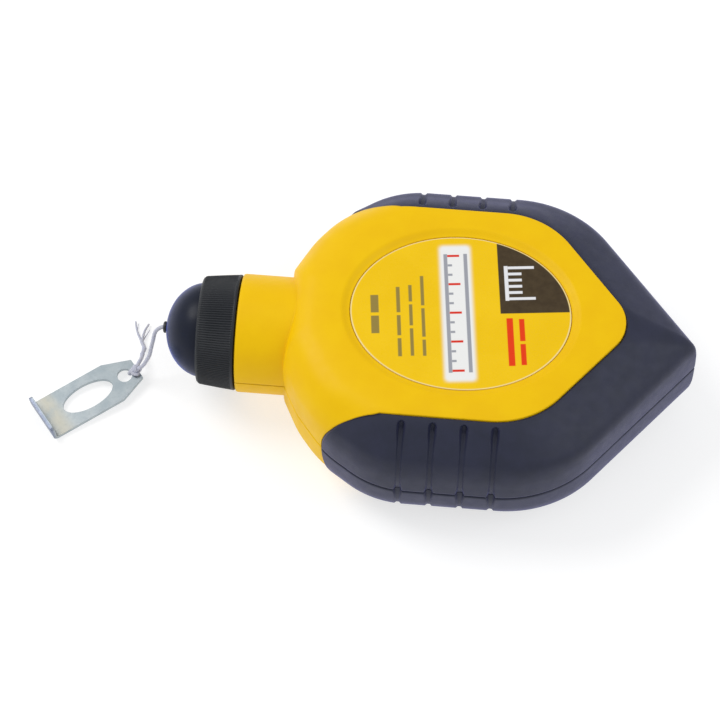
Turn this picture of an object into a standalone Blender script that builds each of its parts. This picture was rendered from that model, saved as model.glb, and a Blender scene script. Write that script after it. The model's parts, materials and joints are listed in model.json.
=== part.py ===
"""Chalk line reel: a two-part case with rubber grips, a reel of line, a folding crank and a screw-on nose.

It lies on its rear face, label up, with its nose towards -X and its point towards +X. Metres, +Z up.
The origin is below the middle of the case, on the surface that it lies on.
"""

import math

import bmesh
import bpy
from mathutils import Matrix, Vector

NAME = "chalk_line_reel"
MM = 0.001
GAP = 0.3 * MM                      # left between pieces that touch

# Case. A station is a distance along the object from the eyelet's front face.
LENGTH = 143.5 * MM
THICK = 38.0 * MM
MID = THICK / 2                     # height of the parting plane and of the neck's axis
FLANK = 45.2 * MM                   # half the width over the rubber
PROUD = 1.3 * MM                    # how far the rubber stands outside the case's flank
SKIN = 1.5 * MM                     # rubber thickness
WALL = 2.4 * MM
SEAM = 0.15 * MM                    # half of the parting gap
INNER_CEILING = 15.1 * MM           # inside of the faces, from the parting plane
CORNER_STEPS = (1, 3, 3, 5, 4)      # facets of each rounded corner, from the neck to the point
POINT_CORNER = LENGTH + 0.276 * MM  # station of the point's corner before it is rounded
POINT_SLANT = 1.25                  # how far that corner moves for each unit that the flanks move in

NECK_START, NECK_END = 21.7 * MM, 39.5 * MM
NECK_R, NECK_BORE = 16.1 * MM, 13.0 * MM
BODY_START = 35.6 * MM
STUB_START, STUB_R, STUB_BORE = 15.0 * MM, 12.4 * MM, 10.6 * MM
PITCH, THREAD_TURNS = 2.5 * MM, 1.7
THREAD_DEPTH = 0.9 * MM

# Reel and crank, which share the axis through the label's centre
REEL_STATION = 80.3 * MM
LABEL_A, LABEL_B = 29.2 * MM, 23.9 * MM
LABEL_FLOOR = 36.3 * MM
LABEL_THICK = 0.5 * MM
FLANGE_R, WINDING_R, DRUM_R = 31.5 * MM, 29.7 * MM, 8.0 * MM
FLANGE_THICK = 1.5 * MM
DRUM_LOW, WEB_LOW, WEB_HIGH, CHEEK_LOW = 14.5 * MM, 17.4 * MM, 26.9 * MM, 30.1 * MM
RECESS_R, RECESS_DEPTH = 27.0 * MM, 12.0 * MM
RECESS_WALL = 2.0 * MM
AXLE_R, SQUARE = 3.0 * MM, 4.2 * MM
BUSH_R, BUSH_BORE = 4.9 * MM, 3.3 * MM
BOSS_R, BOSS_BORE = 6.8 * MM, 5.2 * MM
PIN_X, PIN_Z = -9.0 * MM, 2.0 * MM  # fold pin, from the reel axis and from the rear face
ARM_LENGTH, ARM_WIDTH, ARM_THICK = 30.0 * MM, 12.0 * MM, 2.4 * MM
KNOB_R = 5.0 * MM

# Nose
DOME_R, DOME_LENGTH, DOME_BASE = 12.65 * MM, 11.0 * MM, 12.0 * MM
DOME_WALL = 1.6 * MM
RING_FRONT, RING_REAR = 10.6 * MM, 21.4 * MM
RING_BORE = 13.65 * MM

# Screws: station and distance from the centre line
SCREW_PLACES = ((52.5 * MM, 25.5 * MM), (115.6 * MM, 8.4 * MM))
SCREW_HEAD_R, SCREW_R = 2.8 * MM, 1.4 * MM
SCREW_BOSS_R = 3.4 * MM

# Grips: heights above the parting plane and stations of their shoulder end, which leans back, in mm
GRIP_END = (
    (-20.0, 46.0), (0.0, 46.5), (5.0, 47.0), (9.0, 48.3), (12.5, 51.0), (15.5, 55.0), (17.5, 59.5),
    (18.5, 64.0), (30.0, 80.0),
)
FAR_NOSE = -20.0 * MM               # station well clear of the object, for cutters
GROOVE_STATIONS = [(68.0 + 8.4 * i) * MM for i in range(4)]
GROOVE_DEPTH, GROOVE_FLOOR, GROOVE_MOUTH = 1.0 * MM, 0.7 * MM, 1.7 * MM

# Line
LINE_R = 0.55 * MM
LINE_BEND_STATION = 17.0 * MM
HOOK_WIDTH, HOOK_LENGTH, HOOK_THICK = 12.8 * MM, 29.6 * MM, 1.0 * MM
HOOK_BEND = (-30.3 * MM, -21.35 * MM)   # station and offset of the middle of its bent edge
HOOK_TURN = math.radians(37.4)
HOOK_TILT = math.radians(3.4)
HOOK_END, HOOK_TAPER = 6.6 * MM, 21.3 * MM      # width of its string end, and where it starts to narrow
HOLE_U, HOLE_R = 26.2 * MM, 2.0 * MM
SLOT_U, SLOT_A, SLOT_B = 13.6 * MM, 7.5 * MM, 3.7 * MM

ROUND = 28                          # facets of the large turned pieces
FINE = 14                           # facets of the small ones


def at(station, y=0.0, z=0.0):
    """World point from a station, an offset to the side and a height."""
    return Vector((station - LENGTH / 2, y, z))


# ---------------------------------------------------------------- scene helpers

def reset():
    for obj in list(bpy.data.objects):
        bpy.data.objects.remove(obj, do_unlink=True)
    for name in (NAME, "cutters"):
        bpy.context.scene.collection.children.link(bpy.data.collections.new(name))


def material(name, colour, roughness, metallic=0.0):
    mat = bpy.data.materials.get(name)
    if mat is None:
        mat = bpy.data.materials.new(name)
        mat.use_nodes = True
        shader = mat.node_tree.nodes["Principled BSDF"]
        shader.inputs["Base Color"].default_value = (*colour, 1.0)
        shader.inputs["Roughness"].default_value = roughness
        shader.inputs["Metallic"].default_value = metallic
    return mat


def yellow_abs():
    return material("yellow_abs", (0.87, 0.54, 0.003), 0.35)


def grip_rubber():
    return material("grip_rubber", (0.045, 0.05, 0.08), 0.6)


def black_plastic():
    return material("black_plastic", (0.03, 0.035, 0.045), 0.5)


def zinc():
    return material("zinc", (0.55, 0.6, 0.62), 0.35, 1.0)


def steel():
    return material("steel", (0.5, 0.5, 0.5), 0.3, 1.0)


def brass():
    return material("brass", (0.75, 0.55, 0.25), 0.35, 1.0)


def felt():
    return material("felt", (0.75, 0.72, 0.65), 0.95)


def cotton():
    return material("cotton", (0.62, 0.64, 0.72), 0.9)


def add_mesh(name, bm, mat=None):
    """Makes a named object from a bmesh. Without a material it is a cutter."""
    bmesh.ops.recalc_face_normals(bm, faces=bm.faces)
    mesh = bpy.data.meshes.new(name)
    bm.to_mesh(mesh)
    bm.free()
    return add_object(name, mesh, mat)


def add_object(name, data, mat=None):
    obj = bpy.data.objects.new(name, data)
    if mat is None:
        bpy.data.collections["cutters"].objects.link(obj)
        obj.display_type = "WIRE"
        obj.hide_render = True
    else:
        bpy.data.collections[NAME].objects.link(obj)
        data.materials.append(mat)
        if obj.type == "MESH":
            data.shade_smooth()
            data.set_sharp_from_angle(angle=math.radians(35))
    return obj


def boolean(obj, operation, tool, solver="EXACT"):
    mod = obj.modifiers.new(tool.name, "BOOLEAN")
    mod.operation = operation
    mod.solver = solver
    mod.object = tool


def cut(obj, *tools, solver="EXACT"):
    for tool in tools:
        boolean(obj, "DIFFERENCE", tool, solver)


def join(obj, *tools):
    for tool in tools:
        boolean(obj, "UNION", tool)


def cylinder(name, radius, low, high, place=(0, 0), sides=FINE, mat=None):
    """Upright cylinder or prism between two heights."""
    bm = bmesh.new()
    bmesh.ops.create_cone(bm, cap_ends=True, segments=sides, radius1=radius, radius2=radius, depth=high - low)
    obj = add_mesh(name, bm, mat)
    obj.location = (place[0], place[1], (low + high) / 2)
    return obj


def block(name, low, high, mat=None):
    """Box between two corners."""
    low, high = Vector(low), Vector(high)
    bm = bmesh.new()
    bmesh.ops.create_cube(bm, size=1.0)
    bmesh.ops.scale(bm, vec=high - low, verts=bm.verts)
    obj = add_mesh(name, bm, mat)
    obj.location = (low + high) / 2
    return obj


def turned(name, profile, place, mat=None, along_x=False, steps=ROUND, ring=True):
    """Screw of a profile of (radius, height), down its outer side first. A ring's profile is closed,
    a solid's starts and ends on the axis. Along X, height counts towards the nose."""
    mesh = bpy.data.meshes.new(name)
    points = [(r, 0.0, z) for r, z in profile]
    edges = [(i, i + 1) for i in range(len(points) - 1)]
    if ring:
        edges.append((len(points) - 1, 0))
    mesh.from_pydata(points, edges, [])
    obj = add_object(name, mesh, mat)
    mod = obj.modifiers.new("turn", "SCREW")
    mod.axis = "Z"
    mod.steps = mod.render_steps = steps
    mod.use_merge_vertices = True
    mod.merge_threshold = 0.00001
    obj.location = place
    if along_x:
        obj.rotation_euler = (0.0, -math.pi / 2, 0.0)
    return obj


def ring_profile(outer, inner, low, high):
    return [(outer, high), (outer, low), (inner, low), (inner, high)]


def loft(name, rings, mat=None, closed=False):
    """Skin through rings of points, with a face across each end unless it closes on itself."""
    bm = bmesh.new()
    verts = [[bm.verts.new(p) for p in ring] for ring in rings]
    count = len(rings[0])
    pairs = list(zip(verts, verts[1:]))
    if closed:
        pairs.append((verts[-1], verts[0]))
    else:
        bm.faces.new(verts[0])
        bm.faces.new(verts[-1])
    for a, b in pairs:
        for i in range(count):
            j = (i + 1) % count
            bm.faces.new((a[i], a[j], b[j], b[i]))
    return add_mesh(name, bm, mat)


def prism(name, outline, direction, low, high, mat=None):
    """Prism of an outline of points that is pushed along a direction from low to high."""
    step = Vector(direction)
    return loft(name, [[Vector(p) + step * d for p in outline] for d in (low, high)], mat)


# ---------------------------------------------------------------- the case's outline and section

def corners(side):
    """Half outline's corners from the neck to the point: station, offset, radius and how the radius changes
    with the inset. side moves the flanks inwards, as the case lies inside its rubber."""
    tip = POINT_CORNER - POINT_SLANT * side
    return (
        (BODY_START, 15.5 * MM, 0.4 * MM, 0.4),
        (47.5 * MM - 0.4 * side, 36.8 * MM - 0.7 * side, 6.0 * MM, 0.0),
        (61.0 * MM + 0.8 * side, FLANK - side, 14.0 * MM, -0.4),
        (107.8 * MM - 0.5 * side, FLANK - side, 32.0 * MM, -1.0),
        (tip, 0.0, 1.0 * MM, 0.7),
    )


# Heights above the parting plane, with the inset of the neck end, the shoulder, the flank and the point
CASE_SECTION = (
    (0.0, 0.0, 0.0, 0.0, 0.0),
    (4.0, 0.0, 0.0, 0.3, 0.1),
    (7.0, 0.0, 0.1, 0.9, 0.6),
    (10.0, 0.1, 0.5, 2.2, 1.6),
    (13.5, 0.5, 2.1, 5.0, 4.8),
    (16.5, 1.6, 4.5, 8.2, 8.2),
    (18.5, 3.4, 7.4, 11.4, 11.6),
    (19.0, 5.2, 9.2, 14.0, 14.2),
)
RUBBER_SECTION = (
    (0.0, 0.0, 0.0, 0.0, 0.0),
    (4.0, 0.0, 0.0, 0.3, 0.1),
    (7.0, 0.0, 0.1, 0.8, 0.6),
    (10.0, 0.1, 0.6, 2.0, 1.6),
    (13.5, 0.5, 2.8, 5.7, 5.4),
    (16.3, 1.6, 5.6, 9.2, 9.2),
    (18.0, 3.4, 8.6, 12.5, 12.7),
)


def levels(section):
    return [tuple(v * MM for v in row) for row in section]


def sunk(rows, depth):
    """The section moved into the material by a depth, square to the flank."""
    moved = []
    for i, row in enumerate(rows):
        before, after = rows[max(i - 1, 0)], rows[min(i + 1, len(rows) - 1)]
        rise, run = after[0] - before[0], after[3] - before[3]
        size = math.hypot(rise, run)
        moved.append((row[0] - depth * run / size, *(v + depth * rise / size for v in row[1:])))
    return moved


def crossing(p, u, q, v):
    """Where the line through p along u meets the line through q along v, in the plane."""
    t = ((q.x - p.x) * v.y - (q.y - p.y) * v.x) / (u.x * v.y - u.y * v.x)
    return p + u * t


def outline(side, insets):
    """Closed outline at one height, as points in the plane, with each side moved in by its own inset."""
    half = corners(side)
    neck_end, shoulder, flank, point = insets
    moves = (shoulder, (shoulder + flank) / 2, flank, point)
    points = [Vector((c[0], c[1])) for c in half]
    lines = [(Vector((BODY_START + neck_end, 0.0)), Vector((0.0, 1.0)))]
    for a, b, move in zip(points, points[1:], moves):
        along = (b - a).normalized()
        lines.append((a + Vector((along.y, -along.x)) * move, along))
    mirrored = [(Vector((p.x, -p.y)), Vector((-u.x, u.y))) for p, u in lines]
    mean = sum(insets) / len(insets)
    joints = list(zip(lines, lines[1:])) + [(lines[-1], mirrored[-1])]
    upper = []
    for ((p, u), (q, v)), corner, steps in zip(joints, half, CORNER_STEPS):
        radius = max(corner[2] + corner[3] * mean, 0.3 * MM)
        upper.append(fillet(crossing(p, u, q, v), u, v, radius, steps))
    top = [p for arc in upper[:-1] for p in arc]
    bottom = [Vector((p.x, -p.y)) for p in reversed(top)]
    return top + upper[-1] + bottom


def fillet(corner, along_in, along_out, radius, steps):
    """Points of the arc that rounds a corner between two directions of travel."""
    turn = along_in.angle_signed(along_out)
    reach = radius * math.tan(abs(turn) / 2)
    start = corner - along_in * reach
    inward = Vector((along_in.y, -along_in.x)) if turn > 0 else Vector((-along_in.y, along_in.x))
    centre = start + inward * radius
    spoke = start - centre
    arc = []
    for i in range(steps + 1):
        arc.append(centre + Matrix.Rotation(-turn * i / steps, 2) @ spoke)
    return arc


def case_ring(side, level, facing):
    """Ring of points of the case at one level. facing is 1 for the front half and -1 for the rear."""
    height, *insets = level
    return [at(p.x, p.y, MID + facing * height) for p in outline(side, insets)]


def case_body(facing, name, mat):
    """Hollow half of the case, open at the parting plane, without its neck."""
    outer = levels(CASE_SECTION)
    inner = sunk(outer, WALL)[:-2]
    skirt = -0.5 * MM
    outer[0] = (skirt, *outer[0][1:])
    inner[0] = (skirt, *inner[0][1:])
    inner.append((INNER_CEILING, *(v + 2.5 * MM for v in inner[-1][1:])))
    rings = [case_ring(PROUD, row, facing) for row in reversed(outer)]
    rings += [case_ring(PROUD, row, facing) for row in inner]
    return loft(name, rings, mat)


def grip_blank(name, facing, sink, lift, edge_gap, shift, mat=None):
    """Rubber band round the case, as thick as sink less lift, cut off at its shoulder end along GRIP_END."""
    rows = levels(RUBBER_SECTION)
    outer = sunk(rows, lift) if lift else rows
    inner = sunk(rows, sink)
    edge = rows[-1]
    outer[-1] = (edge[0] - min(lift, 0.0) * 3, *(v + edge_gap for v in edge[1:]))
    inner[-1] = (inner[-1][0], *(v + edge_gap for v in edge[1:]))
    skirt = SEAM if mat else -1.0 * MM
    outer[0] = (skirt, *outer[0][1:])
    inner[0] = (skirt, *inner[0][1:])
    rings = [case_ring(0.0, row, facing) for row in reversed(outer)]
    rings += [case_ring(0.0, row, facing) for row in inner]
    band = loft(name, rings, mat, closed=True)
    points = [at(station * MM + shift, 0.0, MID + facing * height * MM) for height, station in GRIP_END]
    points += [at(FAR_NOSE, 0.0, MID + facing * GRIP_END[i][0] * MM) for i in (-1, 0)]
    cut(band, prism(name + "_end", points, (0, 1, 0), -60 * MM, 60 * MM))
    return band


def groove(name, facing, station, flank):
    """Cutter of one finger groove, which follows the flank's section."""
    rows = levels(RUBBER_SECTION)[:-1]
    rows[0] = (-1.0 * MM, *rows[0][1:])
    last = rows[-1]
    rows[-1] = (last[0] - 0.9 * MM, *(v - 1.1 * MM for v in last[1:]))
    floor, mouth = sunk(rows, GROOVE_DEPTH), sunk(rows, -1.0 * MM)
    wide = GROOVE_MOUTH + 1.0 * MM
    rings = []
    for low, high in zip(floor, mouth):
        y_low, y_high = (flank * (FLANK - row[3]) for row in (low, high))
        z_low, z_high = (MID + facing * row[0] for row in (low, high))
        rings.append([
            at(station - GROOVE_FLOOR, y_low, z_low), at(station + GROOVE_FLOOR, y_low, z_low),
            at(station + wide, y_high, z_high), at(station - wide, y_high, z_high),
        ])
    return loft(name, rings)


def helix(name, inner, outer, start, turns, root, crest):
    """Right-handed thread ridge about local +Z, from a start height, on the given radii."""
    rings = []
    count = round(turns * ROUND)
    for i in range(count + 1):
        angle = math.tau * i / ROUND
        height = start + PITCH * i / ROUND
        section = ((inner, -root), (outer, -crest), (outer, crest), (inner, root))
        rings.append([Vector((r * math.cos(angle), r * math.sin(angle), height + z)) for r, z in section])
    return loft(name, rings)


def ellipse(a, b, sides):
    return [(a * math.cos(math.tau * i / sides), b * math.sin(math.tau * i / sides)) for i in range(sides)]


def reel_point(x=0.0, y=0.0, z=0.0):
    return at(REEL_STATION + x, y, z)


# ---------------------------------------------------------------- the case

def neck_profile():
    """Outer side of the neck and its stub, as radius and distance from the neck's shoulder to the nose."""
    shoulder = NECK_START
    return [
        (0.0, shoulder - STUB_START), (STUB_R - 0.4 * MM, shoulder - STUB_START),
        (STUB_R, shoulder - STUB_START - 0.4 * MM), (STUB_R, 0.0), (NECK_R, 0.0),
        (NECK_R, shoulder - NECK_END), (0.0, shoulder - NECK_END),
    ]


def bore_profile():
    """The hole down the neck, wider behind the stub."""
    front, step = 8.0 * MM, -2.0 * MM
    return [
        (0.0, front), (STUB_BORE, front), (STUB_BORE, step), (NECK_BORE, step - 2.0 * MM),
        (NECK_BORE, NECK_START - NECK_END - 2.0 * MM), (0.0, NECK_START - NECK_END - 2.0 * MM),
    ]


def case_half(facing):
    side = "front" if facing > 0 else "rear"
    shell = case_body(facing, side + "_shell", yellow_abs())
    place = at(NECK_START, 0.0, MID)
    neck = turned(side + "_neck", neck_profile(), place, along_x=True, ring=False)
    thread = helix(side + "_thread", STUB_R - 0.5 * MM, STUB_R + THREAD_DEPTH, 1.4 * MM, THREAD_TURNS,
                   0.75 * MM, 0.3 * MM)
    thread.location = place
    thread.rotation_euler = (0.0, -math.pi / 2, 0.0)
    join(shell, neck, thread)
    outer_face = MID + facing * MID
    for index, (station, offset) in enumerate(screw_places()):
        spot = at(station, offset)
        reach = outer_face - facing * 3.0 * MM
        low, high = sorted((reach, MID))
        join(shell, cylinder(f"{side}_boss_{index}", SCREW_BOSS_R, low, high, spot, 12))
        low, high = sorted((outer_face - facing * 8.0 * MM, MID - facing * 1.0 * MM))
        if facing < 0:
            low = -1.0 * MM
            cut(shell, cylinder(f"head_hole_{index}", SCREW_HEAD_R + 0.4 * MM, low, 3.5 * MM, spot, 12))
        cut(shell, cylinder(f"{side}_hole_{index}", SCREW_R + GAP, low, high, spot, 10))
    if facing > 0:
        front_details(shell)
    else:
        rear_details(shell)
    bore = turned(side + "_bore", bore_profile(), place, along_x=True, ring=False)
    low, high = sorted((MID + facing * SEAM, MID - facing * 30 * MM))
    half_space = block(side + "_trim", at(-20 * MM, -60 * MM, low), at(LENGTH + 20 * MM, 60 * MM, high))
    pocket = grip_blank(side + "_pocket", facing, SKIN + GAP, -1.5 * MM, GAP, -GAP)
    cut(shell, bore)
    cut(shell, pocket, half_space, solver="MANIFOLD")
    return shell


def front_details(shell):
    """Label recess with a sloped rim, and the blind boss for the front bush."""
    spot = reel_point()
    boss = cylinder("front_boss", BOSS_R, 28.0 * MM, 35.0 * MM, spot, 16)
    hole = cylinder("front_boss_hole", BOSS_BORE, 26.0 * MM, MID + INNER_CEILING, spot, 16)
    rings = []
    for height, spread in ((LABEL_FLOOR, 0.3 * MM), (THICK, 2.1 * MM), (THICK + 1 * MM, 2.1 * MM)):
        shape = ellipse(LABEL_A + spread, LABEL_B + spread, 40)
        rings.append([reel_point(x, y, height) for x, y in shape])
    join(shell, boss)
    cut(shell, hole, loft("label_recess", rings))


def rear_details(shell):
    """Round recess for the folded crank, and the boss for the rear bush and its seal."""
    spot = reel_point()
    floor = RECESS_DEPTH + RECESS_WALL
    cup = cylinder("recess_cup", RECESS_R + RECESS_WALL, 2.0 * MM, floor, spot, 36)
    boss = cylinder("rear_boss", BOSS_R, 13.0 * MM, 17.0 * MM, spot, 16)
    recess = cylinder("crank_recess", RECESS_R, -1.0 * MM, RECESS_DEPTH, spot, 36)
    hole = cylinder("rear_boss_hole", BOSS_BORE, 10.0 * MM, 20.0 * MM, spot, 16)
    join(shell, cup, boss)
    cut(shell, recess, hole)


def screw_places():
    return [(station, flank * offset) for station, offset in SCREW_PLACES for flank in (-1, 1)]


def case_screws():
    head, neck, tip = 1.4 * MM, 3.2 * MM, 29.0 * MM
    profile = [(0.0, tip), (SCREW_R - 0.5 * MM, tip), (SCREW_R, tip - 1.2 * MM), (SCREW_R, neck),
               (SCREW_HEAD_R, neck), (SCREW_HEAD_R, head), (0.0, head)]
    for index, (station, offset) in enumerate(screw_places(), 1):
        turned(f"case_screw_{index}", profile, at(station, offset), steel(), steps=12, ring=False)


def grip(facing):
    side = "front" if facing > 0 else "rear"
    band = grip_blank(side + "_grip", facing, SKIN, 0.0, 0.0, 0.0, grip_rubber())
    for flank in (-1, 1):
        for index, station in enumerate(GROOVE_STATIONS):
            cut(band, groove(f"{side}_groove_{index}_{flank}", facing, station, flank), solver="MANIFOLD")


def label():
    low = LABEL_FLOOR + GAP
    rings = [[reel_point(x, y, z) for x, y in ellipse(LABEL_A, LABEL_B, 40)] for z in (low, low + LABEL_THICK)]
    loft("front_label", rings, material("label", (0.9, 0.6, 0.02), 0.15))


# ---------------------------------------------------------------- the reel

def reel():
    spot = reel_point()
    top = CHEEK_LOW - GAP
    body = [(DRUM_R + 1.2 * MM, top), (DRUM_R + 1.2 * MM, DRUM_LOW + FLANGE_THICK),
            (FLANGE_R, DRUM_LOW + FLANGE_THICK), (FLANGE_R, DRUM_LOW),
            (BOSS_R + 0.4 * MM, DRUM_LOW), (BOSS_R + 0.4 * MM, WEB_LOW),
            (0.0, WEB_LOW), (0.0, WEB_HIGH), (BOSS_R + 0.4 * MM, WEB_HIGH), (BOSS_R + 0.4 * MM, top)]
    drum = turned("reel_drum", drum_loop(body), spot, black_plastic(), steps=32, ring=False)
    half = SQUARE / 2 + GAP
    cut(drum, block("drum_socket", reel_point(-half, -half, 10 * MM), reel_point(half, half, 30 * MM)))
    turned("reel_cheek", ring_profile(FLANGE_R, BOSS_R + 0.4 * MM, CHEEK_LOW, CHEEK_LOW + FLANGE_THICK), spot,
           black_plastic(), steps=32)
    low, high = DRUM_LOW + FLANGE_THICK + GAP, CHEEK_LOW - GAP
    bulge = 0.6 * MM
    winding = [(WINDING_R - bulge, high), (WINDING_R, high - 2 * MM), (WINDING_R, low + 2 * MM),
               (WINDING_R - bulge, low), (DRUM_R + 1.5 * MM, low), (DRUM_R + 1.5 * MM, high)]
    turned("line_winding", winding, spot, cotton(), steps=32)


def drum_loop(body):
    """The drum's half section cut open at its web, so that it starts and ends on the axis."""
    web_low = body.index((0.0, WEB_LOW))
    return body[web_low + 1:] + body[:web_low + 1]


def axle():
    spot = reel_point()
    top, shoulder, waist, tail, end = 33.4 * MM, 27.2 * MM, 17.1 * MM, 11.5 * MM, 7.2 * MM
    edge = 0.4 * MM
    journal = [(0.0, top), (AXLE_R - edge, top), (AXLE_R, top - edge), (AXLE_R, shoulder), (0.0, shoulder)]
    rear = [(0.0, waist), (AXLE_R, waist), (AXLE_R, tail), (0.0, tail)]
    shaft = turned("reel_axle", journal, spot, steel(), steps=16, ring=False)
    half = SQUARE / 2
    bar = block("axle_bar", reel_point(-half, -half, end), reel_point(half, half, shoulder + 1 * MM))
    join(shaft, turned("axle_rear", rear, spot, steps=16, ring=False), bar)
    cut(shaft, cylinder("axle_tap", 1.3 * MM, end - 1 * MM, 13.5 * MM, spot, 10))
    bushes = (("front_bush", 28.3 * MM, 33.8 * MM), ("rear_bush", 11.9 * MM, 15.1 * MM))
    for name, low, high in bushes:
        turned(name, ring_profile(BUSH_R, BUSH_BORE, low, high), spot, brass(), steps=16)
    seal = [(BUSH_R, 16.5 * MM), (BUSH_R, 15.6 * MM), (4.5 * MM, 15.4 * MM), (3.5 * MM, 15.4 * MM),
            (3.3 * MM, 15.6 * MM), (3.3 * MM, 16.5 * MM)]
    turned("axle_seal", seal, spot, grip_rubber(), steps=16)
    turned("wave_washer", ring_profile(6.4 * MM, 3.3 * MM, 27.25 * MM, 27.7 * MM), spot, steel(), steps=16)


# ---------------------------------------------------------------- the crank

def crank_hub():
    """Disc on the axle's square end, with two ears for the fold pin and a socket for the screw's head."""
    low, high, radius, wide = 4.3 * MM, 11.2 * MM, 11.5 * MM, 2.6 * MM
    profile = [(0.0, high), (radius, high), (radius, low + 0.8 * MM), (radius - 0.8 * MM, low), (0.0, low)]
    hub = turned("crank_hub", profile, reel_point(), black_plastic(), steps=24, ring=False)
    for index, flank in enumerate((-1, 1)):
        inside, outside = sorted((flank * (ARM_WIDTH / 2 + GAP), flank * (ARM_WIDTH / 2 + wide)))
        ear = [Vector((PIN_X + wide * math.cos(a), 0.0, PIN_Z - 1.6 * MM * math.sin(a)))
               for a in (math.pi * i / 6 for i in range(7))]
        ear += [Vector((PIN_X - wide, 0.0, 5.5 * MM)), Vector((PIN_X + wide, 0.0, 5.5 * MM))]
        shape = [reel_point() + p for p in ear]
        join(hub, prism(f"ear_{index}", shape, (0, 1, 0), inside, outside))
    half = SQUARE / 2 + GAP
    tools = [
        block("hub_socket", reel_point(-half, -half, 6.9 * MM), reel_point(half, half, 15 * MM)),
        cylinder("hub_screw_hole", 1.7 * MM, 3.0 * MM, 8.0 * MM, reel_point(), 12),
        cylinder("hub_screw_pocket", 3.9 * MM, 3.0 * MM, 6.1 * MM, reel_point(), 14),
        cross_hole("ear_hole", 1.05 * MM, 8.0 * MM),
    ]
    cut(hub, *tools, solver="MANIFOLD")


def cross_hole(name, radius, reach):
    """Cutter along Y through the fold pin's place."""
    hole = cylinder(name, radius, -reach - 2 * MM, reach + 2 * MM, sides=12)
    hole.rotation_euler = (math.pi / 2, 0.0, 0.0)
    hole.location = reel_point(PIN_X, 0.0, PIN_Z)
    return hole


def crank():
    spot = reel_point()
    head = [(0.0, 13.0 * MM), (1.0 * MM, 13.0 * MM), (1.0 * MM, 6.0 * MM - 0.2 * MM), (3.4 * MM, 5.8 * MM),
            (3.4 * MM, 4.6 * MM), (0.0, 4.6 * MM)]
    turned("hub_screw", head, spot, steel(), steps=14, ring=False)
    pivot = bpy.data.objects.new("fold_axis", None)
    bpy.data.collections["cutters"].objects.link(pivot)
    pivot.location = reel_point(PIN_X, 0.0, PIN_Z)
    pin = cylinder("fold_pin", 0.75 * MM, -8.4 * MM, 8.4 * MM, sides=12, mat=steel())
    pin.parent = pivot
    pin.rotation_euler = (math.pi / 2, 0.0, 0.0)
    half, thick = ARM_WIDTH / 2 - 0.1 * MM, ARM_THICK / 2
    shape = [(-0.4 * MM, -half), (ARM_LENGTH, -half)]
    shape += [(ARM_LENGTH + half * math.sin(math.pi * i / 8), -half * math.cos(math.pi * i / 8)) for i in range(1, 8)]
    shape += [(ARM_LENGTH, half), (-0.4 * MM, half)]
    arm = prism("crank_arm", [(x, y, 0.0) for x, y in shape], (0, 0, 1), -thick, thick, black_plastic())
    arm.parent = pivot
    knuckle = cylinder("arm_knuckle", 1.6 * MM, -half, half, sides=14)
    knuckle.parent = pivot
    knuckle.rotation_euler = (math.pi / 2, 0.0, 0.0)
    join(arm, knuckle)
    cut(arm, cross_hole("arm_hole", 1.05 * MM, 8.0 * MM))
    end = reel_point(PIN_X + ARM_LENGTH)
    cut(arm, cylinder("arm_end_hole", 1.55 * MM, -1 * MM, 5 * MM, end, 12),
        cylinder("arm_rivet_pocket", 2.7 * MM, -1 * MM, PIN_Z - thick + 0.9 * MM, end, 14))
    knob = [(KNOB_R - 0.8 * MM, 11.4 * MM), (KNOB_R, 10.6 * MM), (KNOB_R - 0.5 * MM, 7.5 * MM),
            (KNOB_R, 4.4 * MM), (KNOB_R - 0.6 * MM, 3.6 * MM), (1.55 * MM, 3.6 * MM), (1.55 * MM, 10.0 * MM),
            (2.7 * MM, 10.0 * MM), (2.7 * MM, 11.4 * MM)]
    turned("crank_knob", knob, end, black_plastic(), steps=18)
    rivet = [(0.0, 11.1 * MM), (2.3 * MM, 11.1 * MM), (2.3 * MM, 10.3 * MM), (1.2 * MM, 10.3 * MM),
             (1.2 * MM, 1.4 * MM), (2.3 * MM, 1.4 * MM), (2.3 * MM, 0.8 * MM), (0.0, 0.8 * MM)]
    turned("knob_rivet", rivet, end, steel(), steps=12, ring=False)


# ---------------------------------------------------------------- the nose

def nose_z(station):
    """Height of a station in a nose piece's turned profile."""
    return NECK_START - station


def cap_ring():
    z = nose_z
    profile = [
        (13.9 * MM, z(RING_FRONT)), (14.6 * MM, z(RING_FRONT + 0.7 * MM)),
        (15.9 * MM, z(RING_REAR - 0.6 * MM)), (15.5 * MM, z(RING_REAR)), (RING_BORE, z(RING_REAR)),
        (RING_BORE, z(12.0 * MM)), (12.95 * MM, z(12.0 * MM)), (12.95 * MM, z(RING_FRONT)),
    ]
    ring = turned("cap_ring", profile, at(NECK_START, 0.0, MID), black_plastic(), along_x=True)
    thread = helix("ring_thread", RING_BORE + 0.5 * MM, RING_BORE - THREAD_DEPTH, 1.4 * MM + PITCH / 2, 1.2,
                   0.75 * MM, 0.3 * MM)
    thread.location = at(NECK_START, 0.0, MID)
    thread.rotation_euler = (0.0, -math.pi / 2, 0.0)
    join(ring, thread)


def dome_points(radius, length, hole, steps):
    """Quarter ellipse from the edge of the tip's hole back to the base: radius and distance before the base."""
    start = math.asin(hole / radius)
    angles = [start + (math.pi / 2 - start) * i / steps for i in range(steps + 1)]
    return [(radius * math.sin(a), length * math.cos(a)) for a in angles]


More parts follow.
